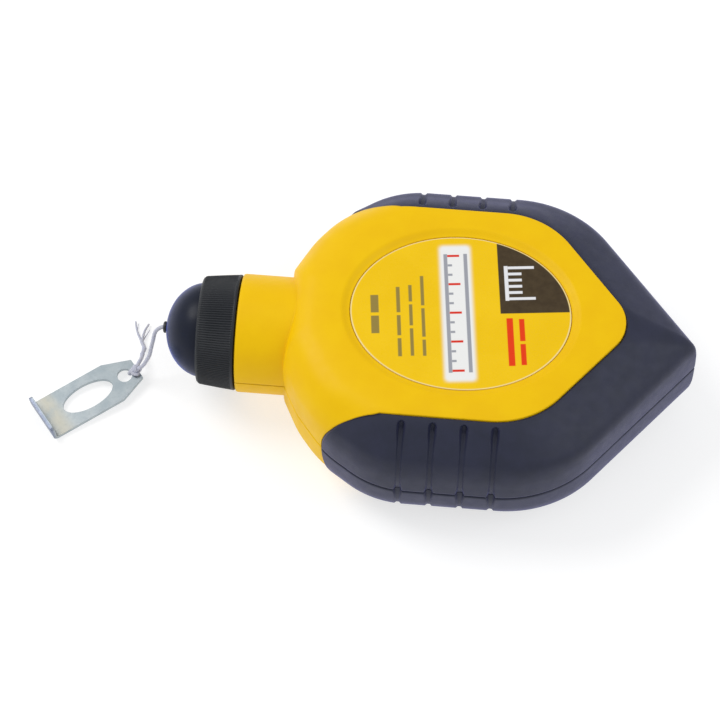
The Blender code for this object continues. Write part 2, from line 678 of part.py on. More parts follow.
def nose():
    place = at(NECK_START, 0.0, MID)
    base = nose_z(DOME_BASE)
    hole = 1.45 * MM
    outer = [(r, base + h) for r, h in dome_points(DOME_R, DOME_LENGTH, hole, 7)]
    inner = [(r, base + h) for r, h in dome_points(DOME_R - DOME_WALL, DOME_LENGTH - DOME_WALL, hole, 5)]
    flange = [(DOME_R, base - GAP), (13.3 * MM, base - GAP), (13.3 * MM, base - 1.6 * MM),
              (DOME_R - DOME_WALL, base - 1.6 * MM)]
    turned("nose_dome", outer + flange + inner[::-1], place, material("dome", (0.02, 0.03, 0.06), 0.35),
           along_x=True)
    z = nose_z
    front, tube = 1.6 * MM, 1.15 * MM
    eyelet = [(1.2 * MM, z(0.0)), (front, z(0.35 * MM)), (front, z(0.75 * MM)), (tube, z(0.75 * MM)),
              (tube, z(2.9 * MM)), (front, z(2.9 * MM)), (front, z(3.3 * MM)), (0.8 * MM, z(3.3 * MM)),
              (0.8 * MM, z(0.0))]
    turned("nose_eyelet", eyelet, place, black_plastic(), along_x=True, steps=14)
    rings = (
        ("felt_wiper", 8.3 * MM, 0.8 * MM, 6.2 * MM, 9.2 * MM, felt()),
        ("felt_washer", 9.8 * MM, 1.6 * MM, 9.5 * MM, 10.3 * MM, black_plastic()),
        ("cap_gasket", 12.6 * MM, 10.9 * MM, 13.9 * MM, 14.7 * MM, grip_rubber()),
    )
    for name, outside, inside, low, high, mat in rings:
        turned(name, ring_profile(outside, inside, z(high), z(low)), place, mat, along_x=True, steps=20)


# ---------------------------------------------------------------- the line and its hook

def smooth(points, spacing):
    """Catmull-Rom curve through the points, read at an even spacing."""
    ends = [points[0] * 2 - points[1], *points, points[-1] * 2 - points[-2]]
    dense = []
    for p, q, r, s in zip(ends, ends[1:], ends[2:], ends[3:]):
        for i in range(24):
            t = i / 24
            dense.append(0.5 * (2 * q + (r - p) * t + (2 * p - 5 * q + 4 * r - s) * t ** 2
                                + (3 * q - p - 3 * r + s) * t ** 3))
    dense.append(points[-1])
    total = sum((b - a).length for a, b in zip(dense, dense[1:]))
    step = total / max(1, round(total / spacing))
    out, carried = [dense[0]], 0.0
    for a, b in zip(dense, dense[1:]):
        carried += (b - a).length
        if carried >= step:
            out.append(b)
            carried -= step
    out[-1] = points[-1]
    return out


def tube(name, points, radius, mat, cyclic=False):
    curve = bpy.data.curves.new(name, "CURVE")
    curve.dimensions = "3D"
    curve.bevel_depth = radius
    curve.bevel_resolution = 2
    curve.use_fill_caps = not cyclic
    spline = curve.splines.new("POLY")
    spline.points.add(len(points) - 1)
    for point, place in zip(spline.points, points):
        point.co = (*place, 1.0)
    spline.use_cyclic_u = cyclic
    return add_object(name, curve, mat)


def line_inside():
    """From the eyelet straight back through the felt, then across the chalk space to the winding's far side."""
    wrap = WINDING_R + GAP + LINE_R
    reach = REEL_STATION - LINE_BEND_STATION
    start = math.acos(wrap / reach)
    angles = [start + math.radians(step) for step in (0, 8, 16, 24)]
    circle = [reel_point(-wrap * math.cos(a), wrap * math.sin(a), MID) for a in angles]
    bend = at(LINE_BEND_STATION, 0.0, MID)
    route = [at(s * MM, 0.0, MID) for s in (0.2, 4.0, 8.0, 12.0, 15.0)]
    route += [bend.lerp(circle[0], t) for t in (0.05, 0.2, 0.4, 0.6, 0.8)] + circle
    tube("line_inside", smooth(route, 3.0 * MM), LINE_R, cotton())


def hook_frame():
    """Matrix from the hook's own frame, u along it from its bent edge and z up, to the world."""
    place = at(HOOK_BEND[0], HOOK_BEND[1], 0.0)
    return Matrix.Translation(place) @ Matrix.Rotation(HOOK_TURN, 4, "Z") @ Matrix.Rotation(-HOOK_TILT, 4, "Y")


def hook():
    side = [(HOOK_LENGTH, 0.0), (HOOK_LENGTH, HOOK_THICK), (1.5 * MM, HOOK_THICK), (0.9 * MM, 1.4 * MM),
            (-1.0 * MM, 5.2 * MM), (-1.9 * MM, 4.8 * MM), (-0.1 * MM, 0.6 * MM), (0.6 * MM, 0.0)]
    half = HOOK_WIDTH / 2
    plate = prism("line_hook", [(u, 0.0, z) for u, z in side], (0, 1, 0), -half, half, zinc())
    tools = [
        ellipse_cutter("hook_hole", HOLE_U, HOLE_R, HOLE_R, 14),
        ellipse_cutter("hook_slot", SLOT_U, SLOT_A, SLOT_B, 22),
    ]
    end_half, taper, far = HOOK_END / 2, HOOK_TAPER, 40 * MM
    for index, flank in enumerate((-1, 1)):
        beyond = end_half - (half - end_half) / (HOOK_LENGTH - taper) * (far - HOOK_LENGTH)
        shape = [(taper, flank * half), (far, flank * beyond), (far, flank * 20 * MM), (taper, flank * 20 * MM)]
        tools.append(prism(f"hook_corner_{index}", [(u, v, 0.0) for u, v in shape], (0, 0, 1), -5 * MM, 5 * MM))
    for obj in (plate, *tools):
        obj.matrix_world = hook_frame()
    cut(plate, *tools)


def ellipse_cutter(name, centre, a, b, sides):
    shape = [(centre + u, v, 0.0) for u, v in ellipse(a, b, sides)]
    return prism(name, shape, (0, 0, 1), -5 * MM, 5 * MM)


def line_knot():
    """Loop through the hook's small hole and round its end, with the knot on top of it."""
    frame = hook_frame()
    bar = (HOLE_U + HOLE_R + HOOK_LENGTH) / 2
    loop = [frame @ Vector((bar + u, 0.0, HOOK_THICK / 2 + w)) for u, w in ellipse(1.75 * MM, 1.5 * MM, 18)]
    ring = tube("line_knot_curve", loop, LINE_R, cotton(), cyclic=True)
    knot = to_mesh(ring, "line_knot")
    bm = bmesh.new()
    bmesh.ops.create_uvsphere(bm, u_segments=12, v_segments=8, radius=1.25 * MM)
    blob = add_mesh("knot_blob", bm)
    blob.location = knot_centre()
    join(knot, blob)


def knot_centre():
    bar = (HOLE_U + HOLE_R + HOOK_LENGTH) / 2
    return hook_frame() @ Vector((bar, 0.0, HOOK_THICK / 2 + 2.6 * MM))


def to_mesh(curve_obj, name):
    """Turns a curve object into a mesh object of the same place, with its caps welded."""
    mesh = bpy.data.meshes.new_from_object(curve_obj.evaluated_get(bpy.context.evaluated_depsgraph_get()))
    bm = bmesh.new()
    bm.from_mesh(mesh)
    bmesh.ops.remove_doubles(bm, verts=bm.verts, dist=0.00001)
    world = curve_obj.matrix_world.copy()
    mats = curve_obj.data.materials[0]
    bpy.data.objects.remove(curve_obj, do_unlink=True)
    mesh.materials.clear()
    obj = add_mesh(name, bm, mats)
    obj.matrix_world = world
    return obj


def line_outside():
    """The free line: out of the eyelet, down under its own weight to the knot, and its end on the floor."""
    knot = knot_centre()
    drop = [at(-0.1 * MM, 0.0, MID), at(-1.4 * MM, 0.0, MID - 0.3 * MM), at(-2.6 * MM, -0.2 * MM, 16.8 * MM),
            at(-3.3 * MM, -0.9 * MM, 12.5 * MM), at(-4.6 * MM, -1.9 * MM, 8.2 * MM),
            knot + Vector((1.35, 0.75, 1.45)) * MM]
    tube("line_free", smooth(drop, 1.4 * MM), LINE_R, cotton())
    tail = [knot + Vector((0.3, 1.75, 0.25)) * MM, at(-6.1 * MM, 0.6 * MM, 2.6 * MM),
            at(-5.6 * MM, 3.8 * MM, 0.75 * MM), at(-6.4 * MM, 7.5 * MM, 0.6 * MM),
            at(-7.6 * MM, 10.2 * MM, 0.6 * MM), at(-8.2 * MM, 12.6 * MM, 0.6 * MM)]
    tube("line_tail", smooth(tail, 1.4 * MM), LINE_R, cotton())


def main():
    reset()
    for facing in (1, -1):
        case_half(facing)
        grip(facing)
    label()
    case_screws()
    reel()
    axle()
    crank_hub()
    crank()
    cap_ring()
    nose()
    line_inside()
    hook()
    line_knot()
    line_outside()


main()
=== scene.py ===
"""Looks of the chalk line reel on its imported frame, in metres, with its label up and its nose towards -X.

The visible pieces are rebuilt here at full detail from the frame's own boxes, and ride on its bodies.
"""

import json
from math import asin, cos, exp, hypot, pi, radians, sin, sqrt, tan, tau

import bmesh
import bpy
from mathutils import Matrix, Vector

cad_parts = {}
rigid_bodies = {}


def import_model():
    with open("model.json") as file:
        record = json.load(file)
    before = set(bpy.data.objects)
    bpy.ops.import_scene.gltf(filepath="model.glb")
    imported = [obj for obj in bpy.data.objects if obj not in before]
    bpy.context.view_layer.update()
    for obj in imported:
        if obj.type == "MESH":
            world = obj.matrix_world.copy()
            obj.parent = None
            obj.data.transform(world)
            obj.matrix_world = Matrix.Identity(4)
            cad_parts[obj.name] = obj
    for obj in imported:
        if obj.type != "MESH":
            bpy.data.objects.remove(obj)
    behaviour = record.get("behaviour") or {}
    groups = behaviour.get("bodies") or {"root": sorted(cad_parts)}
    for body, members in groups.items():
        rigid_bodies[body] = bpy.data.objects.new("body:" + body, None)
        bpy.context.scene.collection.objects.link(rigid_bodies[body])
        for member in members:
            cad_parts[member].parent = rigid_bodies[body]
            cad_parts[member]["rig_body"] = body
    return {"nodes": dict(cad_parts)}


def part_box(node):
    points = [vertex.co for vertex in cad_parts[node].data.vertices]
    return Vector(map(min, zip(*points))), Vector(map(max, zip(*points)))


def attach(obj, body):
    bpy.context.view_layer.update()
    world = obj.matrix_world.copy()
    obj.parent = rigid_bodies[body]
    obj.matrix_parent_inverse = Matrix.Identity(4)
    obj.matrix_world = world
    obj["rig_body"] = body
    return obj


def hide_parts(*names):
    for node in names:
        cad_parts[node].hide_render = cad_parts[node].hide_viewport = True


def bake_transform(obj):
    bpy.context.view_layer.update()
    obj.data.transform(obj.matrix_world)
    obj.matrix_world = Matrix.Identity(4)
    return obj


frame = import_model()
for startup in [o for o in bpy.data.objects if "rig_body" not in o and not o.name.startswith("body:")]:
    bpy.data.objects.remove(startup, do_unlink=True)
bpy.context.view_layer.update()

MM = 0.001

# Driving sizes, most of them from the frame
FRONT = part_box("nose_eyelet")[0].x  # a station is a distance from here along +X
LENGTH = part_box("front_grip")[1].x - FRONT
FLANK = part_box("front_grip")[1].y
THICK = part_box("front_shell")[1].z
MID = THICK / 2  # height of the parting plane and of the neck's axis
LABEL_LOW, LABEL_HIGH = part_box("front_label")
LABEL_A, LABEL_B = ((LABEL_HIGH[i] - LABEL_LOW[i]) / 2 for i in (0, 1))
REEL_X = (LABEL_LOW.x + LABEL_HIGH.x) / 2
REEL = Vector((REEL_X, 0, 0))
RECESS_DEPTH = 12 * MM
RECESS_R = 27 * MM
LINE_R = 0.55 * MM
BEYOND, ASIDE = 20 * MM, 60 * MM  # how far cutters reach past the ends and to each side

# Case
PROUD = 1.3 * MM  # how far the rubber stands outside the case's flank
SKIN = 1.5 * MM
WALL = 2.4 * MM
SEAM = 0.14 * MM  # half of the visible parting line
JOINT = 0.1 * MM  # gap between the rubber and the case
INNER_CEILING = 15.1 * MM
NECK_START, NECK_END, NECK_R, NECK_BORE = 21.3 * MM, 39.5 * MM, 15.95 * MM, 13 * MM
STUB_START, STUB_R, STUB_BORE = 15 * MM, 12.4 * MM, 10.6 * MM
BODY_START = 34.5 * MM
PITCH, THREAD_TURNS, THREAD_DEPTH = 2.5 * MM, 1.7, 0.9 * MM
CORNER_STEPS = (2, 8, 8, 14, 24, 14)
POINT_CORNER, POINT_SLANT = LENGTH + 0.276 * MM, 1.25
SCREW_PLACES = ((52.5 * MM, 25.5 * MM), (115.6 * MM, 8.4 * MM))
PARTING = ((0.12, 0.5), (0.2, 0.24), (0.4, 0.06), (0.7, 0))  # rounded edges there: height and inset, in mm
GROOVE_STATIONS = [(67.4 + 8.15 * i) * MM for i in range(4)]
# Heights above the parting plane, in mm, with the insets of the neck end, shoulder, flank and point
CASE_SECTION = (
    (0, 0, 0, 0, 0),
    (4, 0, 0, 0.3, 0.1),
    (7, 0, 0.1, 0.9, 0.6),
    (10, 0.2, 0.5, 2.2, 1.6),
    (13.5, 0.9, 2.1, 5, 4.8),
    (16.5, 2.7, 4.8, 8.2, 8.2),
    (18.2, 5.6, 8.2, 10.8, 11),
    (18.8, 8.6, 11.6, 13.8, 14),
    (19, 12, 15.5, 18, 18.4),
)
RUBBER_SECTION = (
    (0, 0, 0, 0, 0),
    (4, 0, 0, 0.3, 0),
    (7, 0, 0.1, 0.8, 0.1),
    (9.5, 0.1, 0.5, 1.8, 0.5),
    (11.5, 0.2, 1.2, 3.2, 1.9),
    (13.5, 0.5, 2.8, 5.7, 4.9),
    (16.3, 1.6, 5.6, 9.2, 9.7),
    (18, 3.4, 8.6, 12.5, 13.2),
)
# Shoulder end of a grip: height above the parting plane and station, in mm
GRIP_END = (
    (-20, 46), (0, 46.5), (5, 47), (9, 48.3), (12.5, 51), (15.2, 54.6), (16.8, 57.6),
    (17.6, 60), (18.1, 61.8), (18.6, 62.5), (19.5, 62.8), (30, 63),
)
# Its rounded upper corner: station and distance from the centre plane, in mm
GRIP_CORNER = (
    (54, 29.8), (57, 31.4), (59.5, 32.25), (62.2, 32.6), (65, 32.7), (68, 32.6), (72, 32.1),
)

# Hook, in its own frame: u from its bent edge to its string end, v across, w up
HOOK_BEND = (-30.3 * MM, -21.35 * MM)
HOOK_TURN, HOOK_TILT = radians(37.4), radians(3.4)
HOOK_WIDTH, HOOK_LENGTH, HOOK_THICK = 12.8 * MM, 29.1 * MM, 1 * MM
HOOK_END, HOOK_TAPER = 6.6 * MM, 21.3 * MM
HOLE_U, HOLE_R = 25.2 * MM, 2.05 * MM
SLOT_U, SLOT_A, SLOT_B = 13.6 * MM, 7.5 * MM, 3.7 * MM

# Camera, at the photograph's viewing angle
VIEW_AZIMUTH, VIEW_ELEVATION = radians(5.1), radians(58)
VIEW_DISTANCE, VIEW_WIDTH = 0.85, 0.19408
VIEW_AIM = Vector((-0.01786, -0.00285, 0.01429))
SENSOR = 36  # in mm, as Blender counts it


def at(station, y=0, z=0):
    return Vector((FRONT + station, y, z))


def at_mm(station, y, z):
    return at(station * MM, y * MM, z * MM)


NECK_PLACE = at(NECK_START, 0, MID)


def mm(*rows):
    """Rows of numbers in mm as tuples in metres."""
    return [tuple(v * MM for v in row) for row in rows]


def arc(sweep, steps):
    """Evenly spaced angles from 0 to a sweep, both included."""
    return [sweep * i / steps for i in range(steps + 1)]


def circle(count):
    """Cosine and sine of evenly spaced angles round a circle."""
    return [(cos(tau * i / count), sin(tau * i / count)) for i in range(count)]


def hook_frame():
    """Matrix from the hook's own frame to the world."""
    turn = Matrix.Rotation(HOOK_TURN, 4, "Z") @ Matrix.Rotation(-HOOK_TILT, 4, "Y")
    return Matrix.Translation(at(*HOOK_BEND)) @ turn


# ---- mesh helpers

def add_object(name, data):
    obj = bpy.data.objects.new(name, data)
    bpy.context.scene.collection.objects.link(obj)
    return obj


def from_bmesh(name, bm):
    bmesh.ops.recalc_face_normals(bm, faces=bm.faces)
    mesh = bpy.data.meshes.new(name)
    bm.to_mesh(mesh)
    bm.free()
    return add_object(name, mesh)


def loft(name, rings, closed=False):
    """Skin through rings of points. It ends in a face across each end, unless it closes on itself."""
    bm = bmesh.new()
    verts = [[bm.verts.new(p) for p in ring] for ring in rings]
    pairs = list(zip(verts, verts[1:]))
    if closed:
        pairs.append((verts[-1], verts[0]))
    else:
        bm.faces.new(verts[0])
        bm.faces.new(verts[-1])
    count = len(rings[0])
    for a, b in pairs:
        for i in range(count):
            j = (i + 1) % count
            bm.faces.new((a[i], a[j], b[j], b[i]))
    return from_bmesh(name, bm)


def prism(name, outline, direction, low, high):
    step = Vector(direction)
    return loft(name, [[Vector(p) + step * d for p in outline] for d in (low, high)])


def towards_nose(obj, place):
    """Turns an object's own +Z towards the nose and puts it in its place."""
    obj.rotation_euler = (0, -pi / 2, 0)
    obj.location = place
    return obj


def turned(name, profile, place, steps=96, along_x=False, closed=False):
    """Solid of revolution of (radius, height) points. Along X, height counts towards the nose."""
    bm = bmesh.new()
    rings = []
    for r, h in profile:
        rings.append([bm.verts.new((r * c, r * s, h)) for c, s in (circle(steps) if r else [(0, 0)])])
    for a, b in list(zip(rings, rings[1:])) + ([(rings[-1], rings[0])] if closed else []):
        for i in range(steps):
            j = (i + 1) % steps
            corners = [a[i % len(a)], a[j % len(a)], b[j % len(b)], b[i % len(b)]]
            corners = [v for k, v in enumerate(corners) if v not in corners[:k]]
            if len(corners) > 2:
                bm.faces.new(corners)
    obj = from_bmesh(name, bm)
    if along_x:
        return towards_nose(obj, place)
    obj.location = place
    return obj


def rod(radius, low, high):
    """Profile of a plain round bar."""
    return [(0, low), (radius, low), (radius, high), (0, high)]


def cylinder(name, radius, low, high, place, steps=48):
    return turned(name, rod(radius, low, high), place, steps)


def block(name, low, high):
    bm = bmesh.new()
    bmesh.ops.create_cube(bm, size=1)
    bmesh.ops.scale(bm, vec=Vector(high) - Vector(low), verts=bm.verts)
    bmesh.ops.translate(bm, vec=(Vector(low) + Vector(high)) / 2, verts=bm.verts)
    return from_bmesh(name, bm)


def apply_modifiers(obj):
    bpy.context.view_layer.update()
    mesh = bpy.data.meshes.new_from_object(obj.evaluated_get(bpy.context.evaluated_depsgraph_get()))
    obj.modifiers.clear()
    obj.data = mesh


def combine(obj, operation, tools):
    """Joins tools to a mesh or cuts them out of it, and removes them."""
    for tool in tools:
        mod = obj.modifiers.new("boolean", "BOOLEAN")
        mod.operation, mod.solver, mod.object = operation, "MANIFOLD", tool
    apply_modifiers(obj)
    for tool in tools:
        bpy.data.objects.remove(tool, do_unlink=True)


def join(obj, *tools):
    combine(obj, "UNION", tools)


def cut(obj, *tools):
    combine(obj, "DIFFERENCE", tools)


def finish_piece(obj, body, mat, replaces, sharp, bevel=0, segments=2):
    """Smooth shading with sharp edges, an optional bevel, the material, and the body that it rides on."""
    obj.data.shade_smooth()
    obj.data.set_sharp_from_angle(angle=radians(sharp))
    if bevel:
        mod = obj.modifiers.new("bevel", "BEVEL")
        mod.width, mod.segments, mod.limit_method = bevel, segments, "ANGLE"
        mod.angle_limit, mod.harden_normals = radians(sharp), True
    obj.modifiers.new("normals", "WEIGHTED_NORMAL").keep_sharp = not bevel
    obj.data.materials.clear()
    obj.data.materials.append(mat)
    if body:
        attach(obj, body)
    if replaces:
        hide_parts(*replaces)
    return obj


def between(p, q, r, s, t):
    """Catmull-Rom curve from q to r, of numbers or of vectors."""
    return 0.5 * (2 * q + (r - p) * t + (2 * p - 5 * q + 4 * r - s) * t ** 2
                  + (3 * q - p - 3 * r + s) * t ** 3)


def smooth_path(points, spacing):
    """Catmull-Rom curve through the points, read at an even spacing."""
    ends = [points[0] * 2 - points[1], *points, points[-1] * 2 - points[-2]]
    parts, fours = 40, zip(ends, ends[1:], ends[2:], ends[3:])
    dense = [between(*four, i / parts) for four in fours for i in range(parts)]
    dense.append(points[-1].copy())
    total = sum((b - a).length for a, b in zip(dense, dense[1:]))
    count = max(2, round(total / spacing))
    out, walked, target = [dense[0]], 0, total / count
    for a, b in zip(dense, dense[1:]):
        step = (b - a).length
        while walked + step >= target - 1e-12 and len(out) < count:
            out.append(a.lerp(b, (target - walked) / step))
            target += total / count
        walked += step
    out.append(dense[-1])
    return out


def normals_along(path, closed):
    """Two directions square to the path at each point, turned as little as possible from one to the next."""
    count = len(path)
    tangents = []
    for i in range(count):
        a = path[i - 1] if closed or i else path[0]
        b = path[(i + 1) % count] if closed or i < count - 1 else path[-1]
        tangents.append((b - a).normalized())
    side = tangents[0].orthogonal().normalized()
    result = []
    for tangent in tangents:
        side = (side - tangent * side.dot(tangent)).normalized()
        result.append((side, tangent.cross(side)))
    return result


ROPE_TIP = ((0.72, 0.55), (0.25, 0.85))  # a rope's round end: each ring's size and reach, in end radii


def rope(name, path, radius_at, lay, strands=3, depth=0.1, sides=24, closed=False):
    """Twisted cord along a path: strands wind round it once in each lay. Its ends are rounded off."""
    rings, walked = [], 0
    turns = 1 / lay
    if closed:
        total = sum((path[i] - path[i - 1]).length for i in range(len(path)))
        turns = round(total / lay) / total
    for i, (point, (u, v)) in enumerate(zip(path, normals_along(path, closed))):
        if i:
            walked += (point - path[i - 1]).length
        phase = tau * walked * turns
        ring = []
        for k in range(sides):
            a = tau * k / sides
            lobe = abs(cos(strands * (a - phase) / 2))
            r = radius_at(walked) * (1 - depth + depth * 1.5 * lobe ** 0.7)
            ring.append(point + (u * cos(a) + v * sin(a)) * r)
        rings.append(ring)
    if closed:
        return loft(name, rings, closed=True)
    for end, inner in ((0, 1), (-1, -2)):
        out = (path[end] - path[inner]).normalized()
        centre, edge = path[end], rings[end]
        base = (edge[0] - centre).length
        for scale, push in ROPE_TIP:
            ring = [centre + (p - centre) * scale + out * base * push for p in edge]
            rings.insert(0 if end == 0 else len(rings), ring)
    return loft(name, rings)


# ---- materials

class Graph:
    """A node material under construction. Values are sockets or numbers, and positions are in mm."""

    def __init__(self, name):
        self.mat = bpy.data.materials.new(name)
        self.mat.use_nodes = True
        tree = self.mat.node_tree
        self.nodes, self.links = tree.nodes, tree.links
        self.shader = self.nodes["Principled BSDF"]
        # The object's own coordinates in mm, as one vector and as separate x, y and z
        place = self.node("TexCoord", {})["Object"]
        self.where = self.node("VectorMath", {0: place, "Scale": 1 / MM}, operation="SCALE")[0]
        self.x, self.y, self.z = self.node("SeparateXYZ", {0: self.where})

    def put(self, socket, value):
        if isinstance(value, bpy.types.NodeSocket):
            self.links.new(value, socket)
        elif isinstance(value, tuple) and len(value) == 3 and socket.type == "RGBA":
            socket.default_value = (*value, 1)
        else:
            socket.default_value = value

    def node(self, kind, inputs, **settings):
        """Adds a node with its settings, fills its inputs by name or number, and returns its outputs."""
        node = self.nodes.new("ShaderNode" + kind)
        for name, value in settings.items():
            setattr(node, name, value)
        for key, value in inputs.items():
            self.put(node.inputs[key], value)
        return node.outputs

    def set(self, **inputs):
        for name, value in inputs.items():
            self.put(self.shader.inputs[name.replace("_", " ")], value)

    def math(self, operation, a, b=0):
        return self.node("Math", {0: a, 1: b}, operation=operation)[0]

    def times(self, a, b):
        return self.math("MULTIPLY", a, b)

    def noise(self, scale, detail=3, roughness=0.55, stretch=None):
        """Noise whose features repeat scale times in each mm."""
        vector = self.where
        if stretch:
            vector = self.node("VectorMath", {0: vector, 1: stretch}, operation="MULTIPLY")[0]
        inputs = {"Vector": vector, "Scale": scale, "Detail": detail, "Roughness": roughness}
        return self.node("TexNoise", inputs)["Fac"]

    def spread(self, value, low, high, to_low=0, to_high=1):
        """Maps low..high to to_low..to_high in a smooth step, and holds the ends."""
        inputs = dict(enumerate((value, low, high, to_low, to_high)))
        return self.node("MapRange", inputs, interpolation_type="SMOOTHSTEP")[0]

    def mix(self, factor, a, b):
        """Mix of two colours. The node has other sockets of the same names, so these go by number."""
        return self.node("Mix", {"Factor": factor, 6: a, 7: b}, data_type="RGBA")[2]

    def bump(self, height, distance, edge=0):
        """Sets the normal from a height, over rounded edges if a radius is given."""
        inputs = {"Distance": distance, "Height": height}
        if edge:
            inputs["Normal"] = self.node("Bevel", {"Radius": edge}, samples=6)[0]
        self.set(Normal=self.node("Bump", inputs)[0])

    def band(self, value, low, high, soft):
        """1 between low and high, fading over soft at each side."""
        rise = self.spread(value, low - soft, low + soft)
        fall = self.spread(value, high - soft, high + soft, 1, 0)
        return self.times(rise, fall)

    def box(self, p, q, p_range, q_range, soft):
        return self.times(self.band(p, *p_range, soft), self.band(q, *q_range, soft))

    def paint(self, base, p, q, bars):
        """A base colour with bars over it: each has its ranges in p and q, its colour and its soft edge."""
        for p_range, q_range, colour, soft in bars:
            base = self.mix(self.box(p, q, p_range, q_range, soft), base, colour)
        return base


def moulded(name, colour, shade, roughness, grain, depth, edge=0, patch=0.12):
    """Moulded plastic: slow colour drift, a satin grain and uneven gloss."""
    g = Graph(name)
    drift = g.spread(g.noise(patch, 3), 0.3, 0.7)
    fine = g.noise(grain, 2)
    g.set(Base_Color=g.mix(drift, shade, colour),
          Roughness=g.spread(g.noise(0.35, 4), 0.25, 0.75, roughness - 0.04, roughness + 0.05))
    g.bump(fine, depth, edge=edge)
    return g


def yellow_material():
    g = moulded("yellow_abs", (0.895, 0.550, 0), (0.872, 0.520, 0), 0.46, 5, 0.012 * MM, 0.4 * MM)
    g.set(Specular_IOR_Level=0.16)
    return g.mat


def rubber_material():
    g = moulded("grip_rubber", (0.0165, 0.0196, 0.0450), (0.0130, 0.0162, 0.0355), 0.52, 7, 0.02 * MM,
                edge=0.34 * MM, patch=0.2)
    g.set(Specular_IOR_Level=0.42, Sheen_Weight=0.42, Sheen_Roughness=0.35, Sheen_Tint=(0.45, 0.45, 1))
    return g.mat


def collar_material():
    g = moulded("collar_plastic", (0.011, 0.0135, 0.018), (0.008, 0.010, 0.014), 0.5, 6, 0.015 * MM)
    g.set(Specular_IOR_Level=0.4)
    return g.mat


def dome_material():
    g = moulded("dome_plastic", (0.0145, 0.0185, 0.0360), (0.0155, 0.0185, 0.0290), 0.34, 4, 0.006 * MM)
    g.set(Specular_IOR_Level=0.12, Sheen_Weight=0.75, Sheen_Roughness=0.3, Sheen_Tint=(0.18, 0.26, 1))
    return g.mat


def black_material():
    g = moulded("crank_plastic", (0.016, 0.018, 0.022), (0.012, 0.014, 0.017), 0.42, 5, 0.015 * MM)
    return g.mat


def steel_material():
    g = Graph("screw_steel")
    lines = g.noise(6, 2, stretch=(1, 1, 0.15))
    g.set(Base_Color=g.mix(g.noise(0.8), (0.46, 0.46, 0.47), (0.6, 0.6, 0.6)), Metallic=1,
          Roughness=g.spread(lines, 0.3, 0.7, 0.24, 0.4))
    g.bump(lines, 0.01 * MM)
    return g.mat


def brass_material():
    g = Graph("bush_brass")
    g.set(Base_Color=g.mix(g.noise(0.7), (0.62, 0.44, 0.2), (0.78, 0.58, 0.28)), Metallic=1,
          Roughness=g.spread(g.noise(3), 0.3, 0.7, 0.28, 0.42))
    return g.mat


def zinc_material():
    """Zinc plate: pale and clouded, with a painted warm highlight on the upper side of the bend, painted
    bluish shade over the upturned lip, and fine rolling marks.
    """
    g = Graph("zinc_plate")
    cloud = g.noise(0.22, 4)
    speckle = g.noise(1.6, 4, 0.65)
    rolled = g.noise(2.2, 2, stretch=(0.12, 1, 1))
    base = g.mix(g.spread(cloud, 0.3, 0.7), (0.345, 0.40, 0.43), (0.44, 0.485, 0.505))
    base = g.mix(g.spread(speckle, 0.45, 0.8, 0, 0.45), base, (0.34, 0.385, 0.41))
    # Painted warm highlight on the upper side of the bend, broken up by the cloud
    bend_highlight = g.times(g.band(g.x, 1, 5.2, 2), g.spread(g.z, 0.6, 1))
    bend_highlight = g.times(bend_highlight, g.spread(cloud, 0.25, 0.6, 0.2, 0.85))
    base = g.mix(bend_highlight, base, (0.50, 0.485, 0.41))
    # Painted bluish shade over the upturned lip, below x of 0.3 mm
    lip_shade = g.spread(g.x, 0.3, -0.7)
    base = g.mix(g.times(lip_shade, 0.85), base, (0.22, 0.25, 0.35))
    g.set(Base_Color=base, Metallic=0.8, Roughness=g.spread(speckle, 0.3, 0.75, 0.40, 0.54))
    g.bump(g.math("ADD", rolled, g.times(speckle, 0.6)), 0.012 * MM)
    return g.mat


def cotton_material(name, colour, shade):
    g = Graph(name)
    fibre = g.noise(5.5, 4, 0.7)
    dust = g.spread(g.noise(0.7, 3), 0.35, 0.7)
    base = g.mix(g.spread(fibre, 0.35, 0.65), shade, colour)
    g.set(Base_Color=g.mix(g.times(dust, 0.25), base, (0.50, 0.54, 0.78)), Roughness=0.92,
          Specular_IOR_Level=0.2, Sheen_Weight=0.3, Sheen_Roughness=0.5, Sheen_Tint=(0.85, 0.86, 1))
    g.bump(fibre, 0.09 * MM)
    return g.mat


# The label's print, in mm from the oval's middle: p along the reel, q across it, a little askew on the oval
PRINT_TURN = radians(6.5)
BLOCK_GREY, TICK_RED, WHITE = (0.34, 0.35, 0.39), (0.72, 0.03, 0.01), (0.80, 0.80, 0.82)
TEXT_BROWN, TEXT_RED = (0.30, 0.22, 0.05), (0.80, 0.045, 0.003)
TEXT_ROWS = (
    ((-23.7, -21.6), TEXT_BROWN, ((-5.9, -0.4), (0.6, 6.1))),
    ((-16.9, -15.9), TEXT_BROWN, ((-13.2, -7.6), (-6.7, -0.4), (0.5, 8.5))),
    ((-13.6, -12.7), TEXT_BROWN, ((-13.1, -4.6), (-3.7, 2.9), (3.8, 9))),
    ((-10.4, -9.5), TEXT_BROWN, ((-13.2, -8.2), (-7.3, 1.6), (2.5, 11.8))),
    ((11.9, 13.6), TEXT_RED, ((-16.9, -2.1),)),
    ((15.2, 16.6), TEXT_RED, ((-16.7, -10.2), (-9.3, -2.4))),
)


def block_bars():
    """Two long lines on the pale block with a scale's ticks from the first, and bars in place of text."""
    bars = [(ends, (-18.6, 18.6), BLOCK_GREY, 0.12) for ends in ((-3.9, -2.9), (1.4, 2.4))]
    for index in range(13):
        centre = -18 + 3 * index
        tall, colour = (1.2, BLOCK_GREY) if index % 3 else (3.2, TICK_RED)
        bars.append(((-2.9, -2.9 + tall), (centre - 0.35, centre + 0.35), colour, 0.1))
    return bars + [(ends, piece, colour, 0.12) for ends, colour, pieces in TEXT_ROWS for piece in pieces]


def panel_bars():
    """A plain white measuring scale on the dark panel."""
    bars = [((12, 13), (3.4, 14.4), WHITE, 0.1)]
    for index in range(6):
        centre, reach = 4 + 1.96 * index, 20 if index in (0, 5) else 16.6
        bars.append(((13, reach), (centre - 0.42, centre + 0.42), WHITE, 0.1))
    return bars


